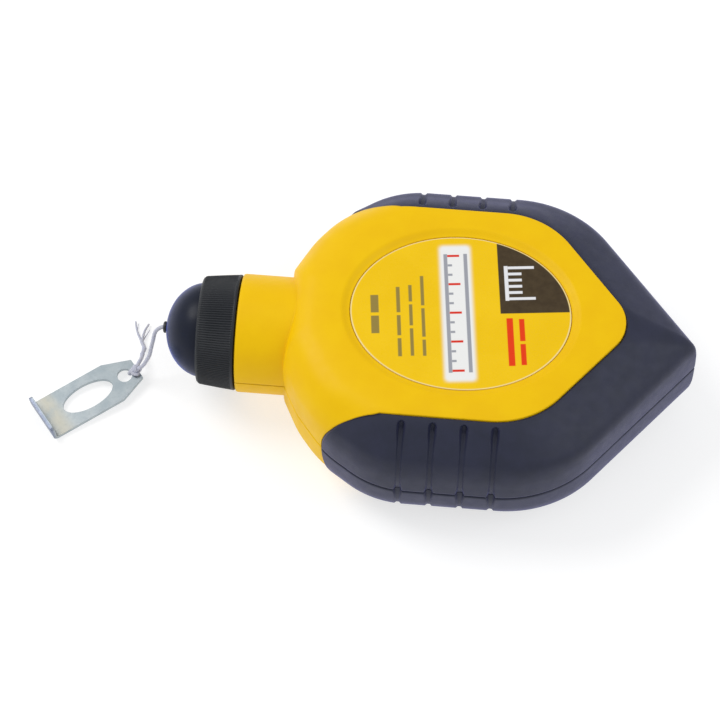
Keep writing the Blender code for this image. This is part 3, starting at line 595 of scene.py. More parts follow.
def label_material():
    """Glossy film with a plain print: a dark corner panel, a pale block, and bars in place of text."""
    g = Graph("label_film")
    c, s = cos(PRINT_TURN), sin(PRINT_TURN)
    p = g.math("ADD", g.times(g.x, c), g.times(g.y, s))
    q = g.math("SUBTRACT", g.times(g.y, c), g.times(g.x, s))
    cloud = g.spread(g.noise(0.06, 2), 0.3, 0.7)
    base = g.mix(cloud, (0.915, 0.585, 0.004), (0.880, 0.550, 0))
    block_here = g.box(p, q, (-4.9, 3.2), (-21.2, 21.2), 1.3)
    base = g.mix(g.spread(block_here, 0, 0.85), base, (0.86, 0.86, 0.84))
    base = g.paint(base, p, q, block_bars())
    panel = g.times(g.spread(p, 10.35, 10.6), g.spread(q, -0.75, -0.5))
    brown = g.mix(g.spread(g.noise(0.5, 4), 0.3, 0.7), (0.050, 0.032, 0.014), (0.066, 0.044, 0.020))
    base = g.paint(g.mix(panel, base, brown), p, q, panel_bars())
    # Painted highlight: a pale ring along the film's edge
    squares = [g.math("POWER", g.math("DIVIDE", axis, half / MM), 2)
               for axis, half in ((g.x, LABEL_A), (g.y, LABEL_B))]
    radius = g.math("SQRT", g.math("ADD", *squares))
    base = g.mix(g.spread(radius, 0.982, 0.992), base, (0.90, 0.72, 0.30))
    g.set(Base_Color=base, Roughness=g.spread(g.noise(0.4, 3), 0.3, 0.7, 0.24, 0.32),
          Specular_IOR_Level=0.22, Coat_Weight=0.1, Coat_Roughness=0.1)
    g.bump(g.noise(0.12, 2), 0.05 * MM)
    return g.mat


def plain_material(name, colour, shade, roughness, scale):
    g = Graph(name)
    fine = g.noise(scale, 4, 0.7)
    g.set(Base_Color=g.mix(fine, shade, colour), Roughness=roughness)
    g.bump(fine, 0.05 * MM)
    return g.mat


# ---- camera, light and floor

def make_camera():
    a, e = VIEW_AZIMUTH, VIEW_ELEVATION
    right = Vector((cos(a), sin(a), 0))
    up = Vector((-sin(a) * sin(e), cos(a) * sin(e), cos(e)))
    back = right.cross(up)
    data = bpy.data.cameras.new("camera")
    data.sensor_width = SENSOR
    data.lens = SENSOR * VIEW_DISTANCE / VIEW_WIDTH
    data.clip_start, data.clip_end = 0.05, 10
    camera = add_object("camera", data)
    matrix = Matrix((right, up, back)).transposed().to_4x4()
    matrix.translation = VIEW_AIM + back * VIEW_DISTANCE
    camera.matrix_world = matrix
    bpy.context.scene.camera = camera


def add_light(name, place, size, power, colour):
    data = bpy.data.lights.new(name, "AREA")
    data.shape, data.size, data.energy, data.color = "DISK", size, power, colour
    light = add_object(name, data)
    light.location = place
    light.rotation_mode = "QUATERNION"
    light.rotation_quaternion = (-(Vector(place) - Vector((0, 0, 0.02)))).to_track_quat("-Z", "Y")


def make_studio():
    scene = bpy.context.scene
    scene.view_settings.view_transform = "Standard"
    scene.view_settings.look = "None"
    world = bpy.data.worlds.new("studio")
    scene.world = world
    world.use_nodes = True
    background = world.node_tree.nodes["Background"]
    background.inputs["Color"].default_value = (0.97, 0.98, 1, 1)
    background.inputs["Strength"].default_value = 0.54
    add_light("key", (-0.8, 0.3, 1), 0.7, 8, (1, 0.99, 0.97))
    add_light("fill", (0.8, -0.2, 0.8), 0.8, 3, (0.93, 0.95, 1))
    bm = bmesh.new()
    bmesh.ops.create_grid(bm, x_segments=1, y_segments=1, size=2.5)
    floor = from_bmesh("floor", bm)
    floor.location = (0, 0, -0.2 * MM)
    g = Graph("floor_white")
    g.set(Base_Color=g.mix(g.noise(0.004, 2), (0.45, 0.45, 0.45), (0.47, 0.47, 0.47)), Roughness=0.9,
          Specular_IOR_Level=0.1, Emission_Color=(1, 1, 1), Emission_Strength=0.64)
    # It is clear from below, so that the views from there show the reel
    below, clear = g.node("NewGeometry", {})["Backfacing"], g.node("BsdfTransparent", {})[0]
    surface = g.node("MixShader", {0: below, 1: g.shader.outputs[0], 2: clear})[0]
    g.put(g.nodes["Material Output"].inputs["Surface"], surface)
    floor.data.materials.append(g.mat)


# ---- line, knot and hook

def knot_centre():
    return hook_frame() @ Vector((HOOK_LENGTH - 0.5 * MM, -0.9 * MM, HOOK_THICK + 1.3 * MM))


def cord_route():
    """Out of the eyelet, over a kink, down through the knot, and on along the floor as the tail."""
    knot = knot_centre()
    line = [(1.3, 0, 19), (0.3, 0, 19), (-1, -0.3, 18.25), (-1.9, -0.7, 16.9), (-2.4, -1.5, 14.6),
            (-3, -2.5, 11.8), (-3.55, -3.3, 9.2), (-4.6, -4.1, 7), (-5.6, -4.7, 5.5)]
    tail = [(-6.8, -2.3, 3.6), (-6.5, -0.3, 2.45), (-6.5, 1.9, 1.5), (-6.35, 4, 0.95), (-7.3, 6.2, 0.72),
            (-8.6, 8.6, 0.66), (-9.4, 10.8, 0.6), (-9.8, 12.6, 0.6)]
    points = [at_mm(*p) for p in line]
    points += [knot, knot + Vector((0.1, 0.9, 0.1)) * MM]
    points += [at_mm(*p) for p in tail]
    return smooth_path(points, 0.22 * MM)


def cord_radius(total):
    """Full thickness up to the fray, with the two small kinks in the tail, then one thinning strand."""
    fray = total - 7.2 * MM

    def radius(walked):
        bump = sum(exp(-((walked - (total - d * MM)) / (0.55 * MM)) ** 2) for d in (9.6, 11.9))
        thin = min(max((walked - fray) / (7.2 * MM), 0), 1)
        return LINE_R * (0.96 + 0.22 * bump) * (1 - 0.28 * min(thin * 5, 1) - 0.3 * thin)
    return radius


def make_line():
    """The free line in one piece, with its knot and its frayed strands."""
    cotton = cotton_material("cotton_line", (0.66, 0.67, 0.74), (0.50, 0.51, 0.60))
    path = cord_route()
    total = sum((b - a).length for a, b in zip(path, path[1:]))
    line = rope("free_line", path, cord_radius(total), 3.4 * MM)
    finish_piece(line, None, cotton, ("line_free", "line_tail"), 60)
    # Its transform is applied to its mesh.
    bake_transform(line)
    knot, fray = make_knot(cotton), make_fray(cotton)
    [tuple(p) for p in path]


def make_knot(cotton):
    """The loop round the hook's end bar and the knot that it is tied in."""
    bar = (HOLE_U + HOLE_R + HOOK_LENGTH) / 2
    loop, turns = [], []
    for i in range(64):
        a = tau * i / 64
        loop.append(hook_frame() @ Vector((bar + 1.5 * MM * cos(a), 0.25 * MM * sin(2 * a),
                                           HOOK_THICK / 2 + 0.15 * MM + 1.35 * MM * sin(a))))
    knot = rope("line_knot_tied", loop, lambda s: LINE_R * 0.95, 3 * MM, closed=True, sides=20)
    # A trefoil knot
    for i in range(120):
        t = tau * i / 120
        turns.append(Vector((sin(t) + 2 * sin(2 * t), cos(t) - 2 * cos(2 * t),
                             -1.5 * sin(3 * t))) * 0.40 * MM)
    tie = rope("tie", turns, lambda s: LINE_R * 0.92, 3 * MM, closed=True, sides=20)
    tilt = Matrix.Rotation(radians(55), 4, "Y") @ Matrix.Rotation(radians(20), 4, "X")
    tie.matrix_world = Matrix.Translation(knot_centre() - Vector((0.1, 0.1, 0.45)) * MM) @ tilt
    merge(knot, tie)
    return finish_piece(knot, "line_end", cotton, ("line_knot",), 60)


# Each frayed strand's route, and its radius at its start and at its tip, in mm
STRANDS = (
    (((-7.1, 5.8, 0.75), (-7.15, 7.6, 0.8), (-6.9, 9.9, 0.6), (-6.1, 12.1, 0.5)), 0.40, 0.27),
    (((-7.1, 5.8, 0.75), (-6.75, 7.4, 0.5), (-6.2, 8.9, 0.32), (-5.6, 10.5, 0.25)), 0.2, 0.1),
    (((-8.3, 8.4, 0.5), (-8.9, 9.9, 0.35), (-9, 11.3, 0.3), (-8.9, 12.3, 0.25)), 0.11, 0.07),
)


def make_fray(cotton):
    fray, spacing = None, 0.2 * MM
    for index, (points, thick, thin) in enumerate(STRANDS):
        route = smooth_path([at_mm(*p) for p in points], spacing)
        reach = len(route) * spacing
        strand = rope(f"strand_{index}", route, lambda s: (thick + (thin - thick) * min(s / reach, 1)) * MM,
                      2.2 * MM, strands=2, depth=0.14, sides=14)
        if fray:
            merge(fray, strand)
        else:
            fray = strand
            fray.name = "line_fray"
    return finish_piece(fray, "line_end", cotton, (), 60)


def merge(obj, other):
    """Adds another object's mesh to this one's, in place, and removes it."""
    bpy.context.view_layer.update()
    bm = bmesh.new()
    bm.from_mesh(obj.data)
    extra = other.data.copy()
    extra.transform(obj.matrix_world.inverted() @ other.matrix_world)
    bm.from_mesh(extra)
    bm.to_mesh(obj.data)
    bm.free()
    bpy.data.objects.remove(other, do_unlink=True)
    bpy.data.meshes.remove(extra)


def hook_profile():
    """Section of the bent plate: flat, a round bend, and a lip that leans outwards."""
    lean, inside, lip = radians(86), 0.6 * MM, 4 * MM
    middle = inside + HOOK_THICK / 2
    centre = Vector((0.95 * MM, HOOK_THICK + inside))
    line = [(Vector((HOOK_LENGTH, HOOK_THICK / 2)), Vector((0, 1)))]
    for i in range(11):
        a = -pi / 2 - lean * i / 10
        spoke = Vector((cos(a), sin(a)))
        line.append((centre + spoke * middle, -spoke))
    last, normal = line[-1]
    along = Vector((-normal.y, normal.x))
    along = along if along.y > 0 else -along
    line.append((last + along * lip, normal))
    upper = [p + n * HOOK_THICK / 2 for p, n in line]
    lower = [p - n * HOOK_THICK / 2 for p, n in reversed(line)]
    return upper + lower


def make_hook():
    half, end_half = HOOK_WIDTH / 2, HOOK_END / 2
    plate = prism("hook_plate", [(p.x, 0, p.y) for p in hook_profile()], (0, 1, 0), -half, half)
    tools = []
    for name, centre, a, b in (("hole", HOLE_U, HOLE_R, HOLE_R), ("slot", SLOT_U, SLOT_A, SLOT_B)):
        shape = [(centre + a * c, b * s, 0) for c, s in circle(72)]
        tools.append(prism(name, shape, (0, 0, 1), -2 * MM, 3 * MM))
    far, wide = 40 * MM, 20 * MM
    beyond = end_half - (half - end_half) / (HOOK_LENGTH - HOOK_TAPER) * (far - HOOK_LENGTH)
    lip_top, corner_r = 5.65 * MM, 1.5 * MM
    outside, above, corner_w = half + 1 * MM, lip_top + 2 * MM, lip_top - corner_r
    for flank in (-1, 1):
        taper = [(HOOK_TAPER, flank * half, 0), (far, flank * beyond, 0), (far, flank * wide, 0),
                 (HOOK_TAPER, flank * wide, 0)]
        tools.append(prism("taper", taper, (0, 0, 1), -5 * MM, 5 * MM))
        corner_v = flank * (half - corner_r)
        ear = [(0, corner_v + flank * corner_r * sin(a), corner_w + corner_r * cos(a))
               for a in arc(pi / 2, 8)]
        ear += [(0, flank * outside, corner_w), (0, flank * outside, above), (0, corner_v, above)]
        tools.append(prism("ear", ear, (1, 0, 0), -6 * MM, 1 * MM))
    cut(plate, *tools)
    plate.matrix_world = hook_frame()
    return finish_piece(plate, "line_end", zinc_material(), ("line_hook",), 30, 0.11 * MM)


# ---- the case's outline and section

def corners(side):
    tip = POINT_CORNER - POINT_SLANT * side
    return (
        (BODY_START, 15.5 * MM, 0.4 * MM, 0.4),
        (38.8 * MM, 24.8 * MM - 0.5 * side, 30 * MM, -1),
        (47.2 * MM - 0.1 * side, 35.4 * MM - 0.4 * side, 30 * MM, -1),
        (61.2 * MM + 0.4 * side, FLANK - side, 26 * MM - 5 * side, -0.7),
        (107.8 * MM - 0.5 * side, FLANK - side, 32 * MM, -1),
        (tip, 0, 1 * MM, 1),
    )


def refined(table, parts=4):
    """The section's rows in metres, with a smooth curve through them, upright at the parting plane."""
    rows = [[v * MM for v in row] for row in table]
    first = [-rows[1][0], *rows[1][1:]]
    last = [rows[-1][0], *(2 * a - b for a, b in zip(rows[-1][1:], rows[-2][1:]))]
    ends = [first, *rows, last]
    out = []
    for four in zip(ends, ends[1:], ends[2:], ends[3:]):
        out += [[between(*values, i / parts) for values in zip(*four)] for i in range(parts)]
    return [*out, rows[-1]]


def sunk(rows, depth):
    """The section moved into the material by a depth, square to the flank."""
    moved = []
    for i, row in enumerate(rows):
        before, after = rows[max(i - 1, 0)], rows[min(i + 1, len(rows) - 1)]
        rise, run = after[0] - before[0], after[3] - before[3]
        size = hypot(rise, run)
        moved.append([row[0] - depth * run / size, *(v + depth * rise / size for v in row[1:])])
    return moved


def crossing(p, u, q, v):
    t = ((q.x - p.x) * v.y - (q.y - p.y) * v.x) / (u.x * v.y - u.y * v.x)
    return p + u * t


def fillet(corner, along_in, along_out, radius, steps):
    turn = along_in.angle_signed(along_out)
    start = corner - along_in * (radius * tan(abs(turn) / 2))
    inward = Vector((along_in.y, -along_in.x)) if turn > 0 else Vector((-along_in.y, along_in.x))
    centre = start + inward * radius
    return [centre + Matrix.Rotation(-turn * i / steps, 2) @ (start - centre) for i in range(steps + 1)]


def outline(side, insets):
    """Closed outline at one height, with each side moved in by its own inset."""
    half = corners(side)
    neck_end, shoulder, flank, point = insets
    moves = (shoulder, shoulder, (shoulder + flank) / 2, flank, point)
    points = [Vector((c[0], c[1])) for c in half]
    lines = [(Vector((BODY_START + neck_end, 0)), Vector((0, 1)))]
    for a, b, move in zip(points, points[1:], moves):
        along = (b - a).normalized()
        lines.append((a + Vector((along.y, -along.x)) * move, along))
    mirrored = (Vector((lines[-1][0].x, -lines[-1][0].y)), Vector((-lines[-1][1].x, lines[-1][1].y)))
    mean = sum(insets) / len(insets)
    upper = []
    for ((p, u), (q, v)), corner, steps in zip(zip(lines, lines[1:] + [mirrored]), half, CORNER_STEPS):
        radius = max(corner[2] + corner[3] * mean, 0.3 * MM)
        upper.append(fillet(crossing(p, u, q, v), u, v, radius, steps))
    top = [p for arc in upper[:-1] for p in arc]
    bottom = [Vector((p.x, -p.y)) for p in reversed(top)]
    return top + upper[-1] + bottom


def case_ring(side, level, facing):
    height, *insets = level
    return [at(p.x, p.y, MID + facing * height) for p in outline(side, insets)]


def grown(row, height, by):
    """A section row at another height, with every side moved in by a further amount."""
    return [height, *(v + by for v in row[1:])]


# ---- case, grips and label

def case_body(facing, name):
    outer = refined(CASE_SECTION)
    inner = [row for row in sunk(outer, WALL) if row[0] < INNER_CEILING - 0.4 * MM]
    skirt = -0.5 * MM
    lips = [grown(outer[0], height * MM, inset * MM) for height, inset in PARTING[1:]]
    outer = [grown(outer[0], skirt, PARTING[0][1] * MM), *lips] + outer[1:]
    inner[0] = [skirt, *inner[0][1:]]
    inner.append([INNER_CEILING, *(v + 2.5 * MM for v in inner[-1][1:])])
    # Down the outside to the parting, and up the inside
    return loft(name, [case_ring(PROUD, row, facing) for row in [*reversed(outer), *inner]])


def grip_end_cutter(facing, shift):
    curve = smooth_path([Vector((h, s, 0)) for h, s in GRIP_END], 1)
    points = [at(p.y * MM + shift, 0, MID + facing * p.x * MM) for p in curve]
    points += [at(-BEYOND, 0, MID + facing * curve[i].x * MM) for i in (-1, 0)]
    return prism("grip_end", points, (0, 1, 0), -ASIDE, ASIDE)


def grip_corner_cutter(facing, flank, shift):
    """Rounds off the corner between a grip's shoulder end and its upper edge."""
    curve = smooth_path([Vector((s, y, 0)) for s, y in GRIP_CORNER], 0.8)
    points = [at(p.x * MM, flank * (p.y * MM - shift), MID) for p in curve]
    points += [at(curve[i].x * MM, flank * 15 * MM, MID) for i in (-1, 0)]
    low, high = sorted((facing * 8 * MM, facing * 25 * MM))
    return prism("grip_corner", points, (0, 0, 1), low, high)


def grip_band(name, facing, visible):
    """The rubber band, or the pocket that it lies in, cut off at its shoulder end."""
    rows = refined(RUBBER_SECTION)
    top = rows[-1]
    inner = sunk(rows, SKIN if visible else SKIN + JOINT)
    inner[-1] = [inner[-1][0], *top[1:]]
    if visible:
        edge = 0.32 * MM
        outer = [grown(rows[0], height * MM, inset * MM) for height, inset in PARTING] + rows[1:-1]
        outer += [grown(top, top[0] - 0.1 * MM, -edge), grown(top, top[0] - 0.22 * MM, -0.08 * MM)]
        inner[0] = [PARTING[0][0] * MM, *inner[0][1:]]
    else:
        outer = sunk(rows, -1.5 * MM)[:-1]
        outer.append(grown(top, top[0] + 3 * MM, JOINT))
        inner[-1] = grown(inner[-1], inner[-1][0], JOINT)
        outer[0] = [-1 * MM, *outer[0][1:]]
        inner[0] = [-1 * MM, *inner[0][1:]]
    band = loft(name, [case_ring(0, row, facing) for row in [*reversed(outer), *inner]], closed=True)
    shift = 0 if visible else JOINT
    corner_cutters = [grip_corner_cutter(facing, flank, shift) for flank in (-1, 1)]
    cut(band, grip_end_cutter(facing, -shift), *corner_cutters)
    return band


def helix(name, inner, outer, start, turns, root, crest):
    rings, steps = [], 64
    for i in range(round(turns * steps) + 1):
        angle = tau * i / steps
        height = start + PITCH * i / steps
        section = ((inner, -root), (outer, -crest), (outer, crest), (inner, root))
        rings.append([Vector((r * cos(angle), r * sin(angle), height + z)) for r, z in section])
    return towards_nose(loft(name, rings), NECK_PLACE)


def neck_parts():
    """The neck with its stub, and the bore down it. Heights count from the neck's shoulder to the nose."""
    stub = NECK_START - STUB_START
    foot, edge = NECK_START - NECK_END, 0.5 * MM
    outer = [(0, stub), (STUB_R - edge, stub), (STUB_R, stub - edge), (STUB_R, 0), (NECK_R - edge, 0),
             (NECK_R - 0.15 * MM, -0.15 * MM), (NECK_R, -edge), (NECK_R, foot), (0, foot)]
    past = foot - 2 * MM
    bore = [(0, 8 * MM), (STUB_BORE, 8 * MM), (STUB_BORE, -2 * MM), (NECK_BORE, -4 * MM),
            (NECK_BORE, past), (0, past)]
    return turned("neck", outer, NECK_PLACE, 128, True), turned("bore", bore, NECK_PLACE, 96, True)


def screw_places():
    return [at(station, flank * offset) for station, offset in SCREW_PLACES for flank in (-1, 1)]


def ellipse_ring(spread, height):
    """Ring round the label, wider than it by a spread."""
    return [Vector((REEL_X + (LABEL_A + spread) * c, (LABEL_B + spread) * s, height)) for c, s in circle(160)]


def label_recess():
    """Cutter of the label's seat and the soft dish round it."""
    floor = LABEL_LOW.z - 0.02 * MM
    rings = [ellipse_ring(0.14 * MM, floor)]
    for step in range(13):
        t = step / 12
        rise = 0.35 + 0.65 * (0.5 - 0.5 * cos(pi * t))
        rings.append(ellipse_ring((0.2 + 2.7 * t) * MM, floor + (THICK + 0.01 * MM - floor) * rise))
    rings.append(ellipse_ring(3.4 * MM, THICK + 0.6 * MM))
    return loft("label_recess", rings)


def rear_cutters():
    """Cutters of the crank's round recess, the hole in its floor and the four screw holes."""
    mouth = [(RECESS_R + out, height) for out, height in mm((1.4, -1), (0.4, 0.02), (0.12, 0.15), (0, 0.45))]
    floor = [(RECESS_R - into, RECESS_DEPTH - up) for into, up in mm((0, 0.6), (0.2, 0.2), (0.6, 0))]
    rim = [(0, -1 * MM), *mouth, *floor, (0, RECESS_DEPTH)]
    sink = mm((0, -1), (4.2, -1), (3.45, 0.02), (3.2, 0.3), (3.2, 3.5), (1.7, 3.5), (1.7, 12), (0, 12))
    return [turned("crank_recess", rim, REEL, 160), cylinder("boss_hole", 5.2 * MM, 10 * MM, 20 * MM, REEL),
            *[turned("screw_sink", sink, place, 40) for place in screw_places()]]


def make_shell(facing, material):
    side = "front" if facing > 0 else "rear"
    shell = case_body(facing, side + "_case")
    neck, bore = neck_parts()
    thread = helix("thread", STUB_R - 0.5 * MM, STUB_R + THREAD_DEPTH, 1.4 * MM, THREAD_TURNS,
                   0.75 * MM, 0.3 * MM)
    join(shell, neck, thread)
    if facing > 0:
        tools = [label_recess()]
    else:
        wall = 2 * MM
        cup = cylinder("cup", RECESS_R + wall, 2 * MM, RECESS_DEPTH + wall, REEL, 128)
        join(shell, cup, cylinder("boss", 6.8 * MM, 13 * MM, 17 * MM, REEL))
        tools = rear_cutters()
    low, high = sorted((MID + facing * SEAM, MID - facing * 30 * MM))
    tools += [bore, grip_band(side + "_pocket", facing, False),
              block("half_space", at(-BEYOND, -ASIDE, low), at(LENGTH + BEYOND, ASIDE, high))]
    cut(shell, *tools)
    finish_piece(shell, "case", material, (side + "_shell",), 28)


def groove_ring(s, top):
    """Section of a groove at a distance along it, as steps aside and out of the rubber."""
    # Deep and wide at the parting line, shallow on the way up, deeper again at the round upper end
    notch = exp(-((s / MM - 0.5) / 3) ** 2)
    upper = exp(-(((top - s) / MM - 2) / 3.2) ** 2)
    depth = (0.45 + 0.85 * notch + 0.90 * upper) * MM
    floor = (0.42 + 0.30 * notch + 0.16 * upper) * MM
    mouth = (0.84 + 0.56 * notch + 0.34 * upper) * MM
    left = (top - s) / (1.1 * MM)
    close = max(sqrt(max(1 - (1 - left) ** 2, 0)) if left < 1 else 1, 0.06)
    half = [(floor * 0.5, -depth * 1.08), (floor, -depth), (mouth, -0.05 * MM), (mouth + 0.3 * MM, 0.4 * MM)]
    mirrored = [(-side, sink) for side, sink in reversed(half)]
    ring = mirrored[2:] + half + mirrored[:2]
    return [(side * close, sink * (0.5 + 0.5 * close) if sink < 0 else sink) for side, sink in ring]


def groove(facing, station, flank):
    """Cutter of one finger groove: a round-ended channel up the flank's section from the parting."""
    rows = [[-1.5 * MM, 0, 0, 0, 0]] + refined(RUBBER_SECTION, 8)
    points = [Vector((flank * (FLANK - row[3]), MID + facing * row[0])) for row in rows]
    lengths = [0]
    for a, b in zip(points, points[1:]):
        lengths.append(lengths[-1] + (b - a).length)
    top = lengths[-1] - 1.3 * MM
    count, round_steps = 48, 10
    straight = count - round_steps
    rings = []
    for k in range(count + 1):
        s = top * k / count
        if k > straight:
            start = top * straight / count
            s = start + (top - start) * sin(pi / 2 * (k - straight) / round_steps)
        index = max(i for i in range(len(lengths) - 1) if lengths[i] <= s)
        t = (s - lengths[index]) / (lengths[index + 1] - lengths[index])
        point = points[index].lerp(points[index + 1], t)
        along = (points[index + 1] - points[index]).normalized()
        out = Vector((along.y, -along.x))
        out = out if out.x * flank > 0 else -out
        rings.append([at(station + aside, *(point + out * sink)) for aside, sink in groove_ring(s, top)])
    return loft("groove", rings)


def make_grip(facing, material):
    side = "front" if facing > 0 else "rear"
    band = grip_band(side + "_rubber", facing, True)
    cut(band, *[groove(facing, station, flank) for flank in (-1, 1) for station in GROOVE_STATIONS])
    finish_piece(band, "case", material, (side + "_grip",), 28)


def make_label():
    low, high = LABEL_LOW.z, LABEL_HIGH.z
    centre = Vector((REEL_X, 0, high))
    rows = [(0, low), (0, high - 0.16 * MM), (-0.05 * MM, high - 0.05 * MM), (-0.16 * MM, high),
            (-1.2 * MM, high)]
    rings = [[p - centre for p in ellipse_ring(spread, height)] for spread, height in rows]
    label = loft("oval_label", rings)
    label.location = centre
    finish_piece(label, "case", label_material(), ("front_label",), 40)


def make_screws(material):
    """Pan heads with a cross recess, seen down the holes of the rear face."""
    head = mm((0, 1.4), (1.3, 1.4), (2.3, 1.7), (2.8, 2.35), (2.8, 3.2), (1.4, 3.2), (1.4, 28), (0, 29))
    for index, place in enumerate(screw_places(), 1):
        screw = turned(f"case_screw_turned_{index}", head, place, 36)
        slots = []
        for quarter in (0, 1):
            slot = block("slot", (-1.55 * MM, -0.32 * MM, 0), (1.55 * MM, 0.32 * MM, 2.5 * MM))
            turn = Matrix.Rotation(radians(17 + 41 * index), 4, "Z")
            cross = Matrix.Rotation(quarter * pi / 2, 4, "Z")
            slot.matrix_world = Matrix.Translation(place) @ turn @ cross
            slots.append(slot)
        cut(screw, *slots)
        finish_piece(screw, "case", material, (f"case_screw_{index}",), 35, 0.06 * MM)


# ---- nose and collar

def make_dome(material):
    """Half-ellipsoid shell with a hole for the eyelet and a hidden flange."""
    radius, length, wall, base = 12.8 * MM, 10.7 * MM, 1.6 * MM, NECK_START - 12 * MM
    hole = 1.45 * MM

    def quarter(r, h, steps):
        start = asin(hole / r)
        angles = [start + a for a in arc(pi / 2 - start, steps)]
        return [(r * sin(a), base + h * cos(a)) for a in angles]
    outer, inner = quarter(radius, length, 36), quarter(radius - wall, length - wall, 16)
    flange_r, top, bottom = 13.3 * MM, base - 0.3 * MM, base - 1.6 * MM
    flange = [(radius, top), (flange_r, top), (flange_r, bottom), (radius - wall, bottom)]
    dome = turned("dome", outer + flange + inner[::-1], NECK_PLACE, 128, True, True)
    finish_piece(dome, "nose", material, ("nose_dome",), 40)


def make_eyelet(material):
    tip = NECK_START - 0.45 * MM
    section = mm((0.8, -0.3), (0.92, -0.08), (1.05, 0), (1.3, -0.06), (1.52, -0.25), (1.6, -0.45),
                 (1.57, -0.75), (1.15, -0.75), (1.15, -2.9), (1.6, -2.9), (1.6, -3.3), (0.8, -3.3))
    profile = [(r, tip + h) for r, h in section]
    eyelet = turned("eyelet", profile, NECK_PLACE, 48, True, True)
    finish_piece(eyelet, "nose", material, ("nose_eyelet",), 40)


def make_collar(material):
    """Collar with fine ribs along it, a bevelled front and a plain rear band."""
    ribs, fine, rib_depth = 144, 6, 0.22 * MM
    # Radius and station in mm, and how much of the ribs' depth there is
    profile = [(12.95, 12, 0), (12.95, 10.75, 0), (13.1, 10.6, 0), (13.75, 10.6, 0), (14.1, 10.72, 0),
               (14.5, 11.2, 0.1), (14.6, 11.5, 1), (14.85, 13.6, 1), (15.08, 15.6, 1), (15.3, 17.6, 1),
               (15.5, 19.8, 1), (15.52, 20.1, 0.7), (15.58, 20.2, 0), (15.6, 20.35, 0), (15.6, 20.6, 0),
               (15.5, 20.8, 0), (15.25, 20.9, 0), (13.65, 20.9, 0), (13.65, 12, 0)]
    rings = []
    for r, station, ribbed in profile:
        ring = []
        for i, (c, s) in enumerate(circle(ribs * fine)):
            valley = 0.5 + 0.5 * cos(tau * i / fine)
            radius = r * MM - rib_depth * ribbed * valley ** 1.5
            ring.append(Vector((radius * c, radius * s, NECK_START - station * MM)))
        rings.append(ring)
    collar = towards_nose(loft("ribbed_collar", rings, closed=True), NECK_PLACE)
    finish_piece(collar, "cap", material, ("cap_ring",), 50)


# ---- crank

PIN_X, PIN_Z = REEL_X - 9 * MM, 2 * MM
ARM_LENGTH, ARM_WIDTH, ARM_THICK = 30 * MM, 12 * MM, 2.4 * MM
ARM_END_X = PIN_X + ARM_LENGTH
ARM_END = Vector((ARM_END_X, 0, 0))
PIN_HOLE = rod(0.8 * MM, -10 * MM, 10 * MM)


def across(name, profile, steps=32):
    """Part turned about the crank's fold axis, which runs across the arm."""
    pin = turned(name, profile, (PIN_X, 0, PIN_Z), steps)
    pin.rotation_euler = (pi / 2, 0, 0)
    return pin


def make_hub(material):
    low, high, radius, wide, gap = 4.3 * MM, 11.2 * MM, 11.5 * MM, 2.6 * MM, 0.3 * MM
    profile = [(0, high), (radius, high), (radius, low + 0.9 * MM), (radius - 0.25 * MM, low + 0.28 * MM),
               (radius - 0.9 * MM, low), (6.2 * MM, low), (5.9 * MM, low + 0.35 * MM), (0, low + 0.35 * MM)]
    hub = turned("crank_hub_turned", profile, REEL, 96)
    ears = []
    for flank in (-1, 1):
        inside, outside = sorted((flank * (ARM_WIDTH / 2 + gap), flank * (ARM_WIDTH / 2 + wide)))
        shape = [(PIN_X + wide * cos(a), 0, PIN_Z - 1.6 * MM * sin(a)) for a in arc(pi, 20)]
        shape += [(PIN_X - wide, 0, 5.5 * MM), (PIN_X + wide, 0, 5.5 * MM)]
        ears.append(prism("ear", shape, (0, 1, 0), inside, outside))
    join(hub, *ears)
    half = 2.4 * MM
    cut(hub, block("socket", (REEL_X - half, -half, 6.9 * MM), (REEL_X + half, half, 15 * MM)),
        cylinder("hole", 1.7 * MM, 3 * MM, 8 * MM, REEL),
        cylinder("pocket", 3.9 * MM, 3 * MM, 6.1 * MM, REEL), across("pin_hole", PIN_HOLE))
    finish_piece(hub, "reel", material, ("crank_hub",), 32, 0.15 * MM)


def make_arm(material):
    half, thick, heel = ARM_WIDTH / 2 - 0.1 * MM, ARM_THICK / 2, PIN_X - 0.4 * MM
    round_end = [(ARM_END_X + half * sin(a), -half * cos(a), PIN_Z) for a in arc(pi, 40)]
    shape = [(heel, -half, PIN_Z), *round_end, (heel, half, PIN_Z)]
    arm = prism("crank_arm_moulded", shape, (0, 0, 1), -thick, thick)
    join(arm, across("knuckle", rod(1.6 * MM, -half, half), 40))
    # A shallow finger dish on the outer face, the pin's hole, and the rivet's hole and pocket
    middle, long, wide = PIN_X + 14.5 * MM, 6.5 * MM, 3.7 * MM
    dish = []
    for scale, height in ((1, -1.3), (1, -1.19), (0.93, -0.95), (0.84, -0.8), (0.7, -0.75)):
        z = PIN_Z + height * MM
        dish.append([Vector((middle + (long * scale) * c, wide * scale * s, z)) for c, s in circle(64)])
    cut(arm, across("pin_hole", PIN_HOLE), loft("dish", dish),
        cylinder("rivet_hole", 1.35 * MM, -1 * MM, 5 * MM, ARM_END),
        cylinder("rivet_pocket", 2.7 * MM, -1 * MM, PIN_Z - thick + 0.9 * MM, ARM_END))
    finish_piece(arm, "crank", material, ("crank_arm",), 32, 0.25 * MM, 3)


def make_knob(material):
    waist = [(5 - 0.55 * sin(pi * i / 12), 4.4 + 6.2 * i / 12) for i in range(13)]
    profile = mm((1.4, 3.6), (4.4, 3.6), (4.8, 3.85), *waist, (4.85, 11.05), (4.4, 11.4), (2.9, 11.4),
                 (2.7, 11.2), (2.7, 10), (1.4, 10))
    knob = turned("knob_turned", profile, ARM_END, 64, closed=True)
    finish_piece(knob, "knob", material, ("crank_knob",), 32)


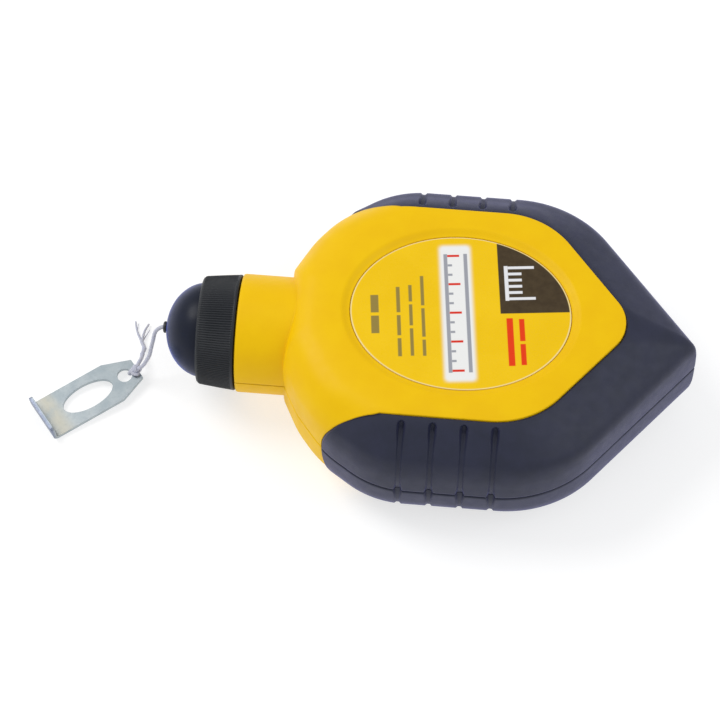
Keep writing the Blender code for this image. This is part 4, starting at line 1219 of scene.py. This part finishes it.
def make_fasteners(material):
    """The knob's rivet, the fold pin and the hub's screw."""
    profile = mm((0, 11.05), (1.2, 11), (2, 10.8), (2.3, 10.5), (2.3, 10.3), (1.2, 10.3), (1.2, 1.4),
                 (2.3, 1.4), (2.3, 1.15), (2, 0.95), (1.2, 0.83), (0, 0.8))
    rivet = turned("rivet_turned", profile, ARM_END, 40)
    finish_piece(rivet, "crank", material, ("knob_rivet",), 35)
    profile = mm((0, -8.4), (0.6, -8.4), (0.75, -8.2), (0.75, 8.2), (0.6, 8.4), (0, 8.4))
    finish_piece(across("pin_turned", profile), "reel", material, ("fold_pin",), 35)
    profile = mm((0, 4.6), (2.2, 4.6), (3, 4.75), (3.4, 5.15), (3.4, 5.8), (1, 5.8), (1, 13), (0, 13))
    screw = turned("hub_screw_turned", profile, REEL, 40)
    cut(screw, *[block("slot", (REEL_X - a, -b, 4 * MM), (REEL_X + a, b, 5.35 * MM))
                 for a, b in mm((1.7, 0.33), (0.33, 1.7))])
    finish_piece(screw, "reel", material, ("hub_screw",), 35, 0.06 * MM)


# ---- the frame's own pieces that stay

def dress_frame():
    """Materials for the CAD pieces that stay: the reel and what is sealed inside the case and the nose."""
    metal = steel_material()
    looks = (
        (black_material(), ("reel_drum", "reel_cheek")),
        (metal, ("reel_axle", "wave_washer")),
        (brass_material(), ("front_bush", "rear_bush")),
        (plain_material("seal_rubber", (0.03, 0.03, 0.035), (0.02, 0.02, 0.024), 0.7, 4),
         ("axle_seal", "cap_gasket")),
        (plain_material("felt", (0.78, 0.75, 0.68), (0.6, 0.57, 0.5), 0.97, 3), ("felt_wiper",)),
        (collar_material(), ("felt_washer",)),
        (cotton_material("wound_line", (0.60, 0.62, 0.72), (0.42, 0.44, 0.56)),
         ("line_winding", "line_inside")),
    )
    for look, nodes in looks:
        for node in nodes:
            data = frame["nodes"][node].data
            data.materials.clear()
            data.materials.append(look)


def main():
    make_camera()
    hook = make_hook()
    make_line()
    make_studio()
    yellow, rubber, black, metal = yellow_material(), rubber_material(), black_material(), steel_material()
    for facing in (1, -1):
        make_shell(facing, yellow)
        make_grip(facing, rubber)
    make_label()
    make_screws(metal)
    dark = dome_material()
    make_dome(dark)
    make_eyelet(black)
    make_collar(collar_material())
    make_hub(black)
    make_arm(black)
    make_knob(black)
    make_fasteners(metal)
    dress_frame()


main()
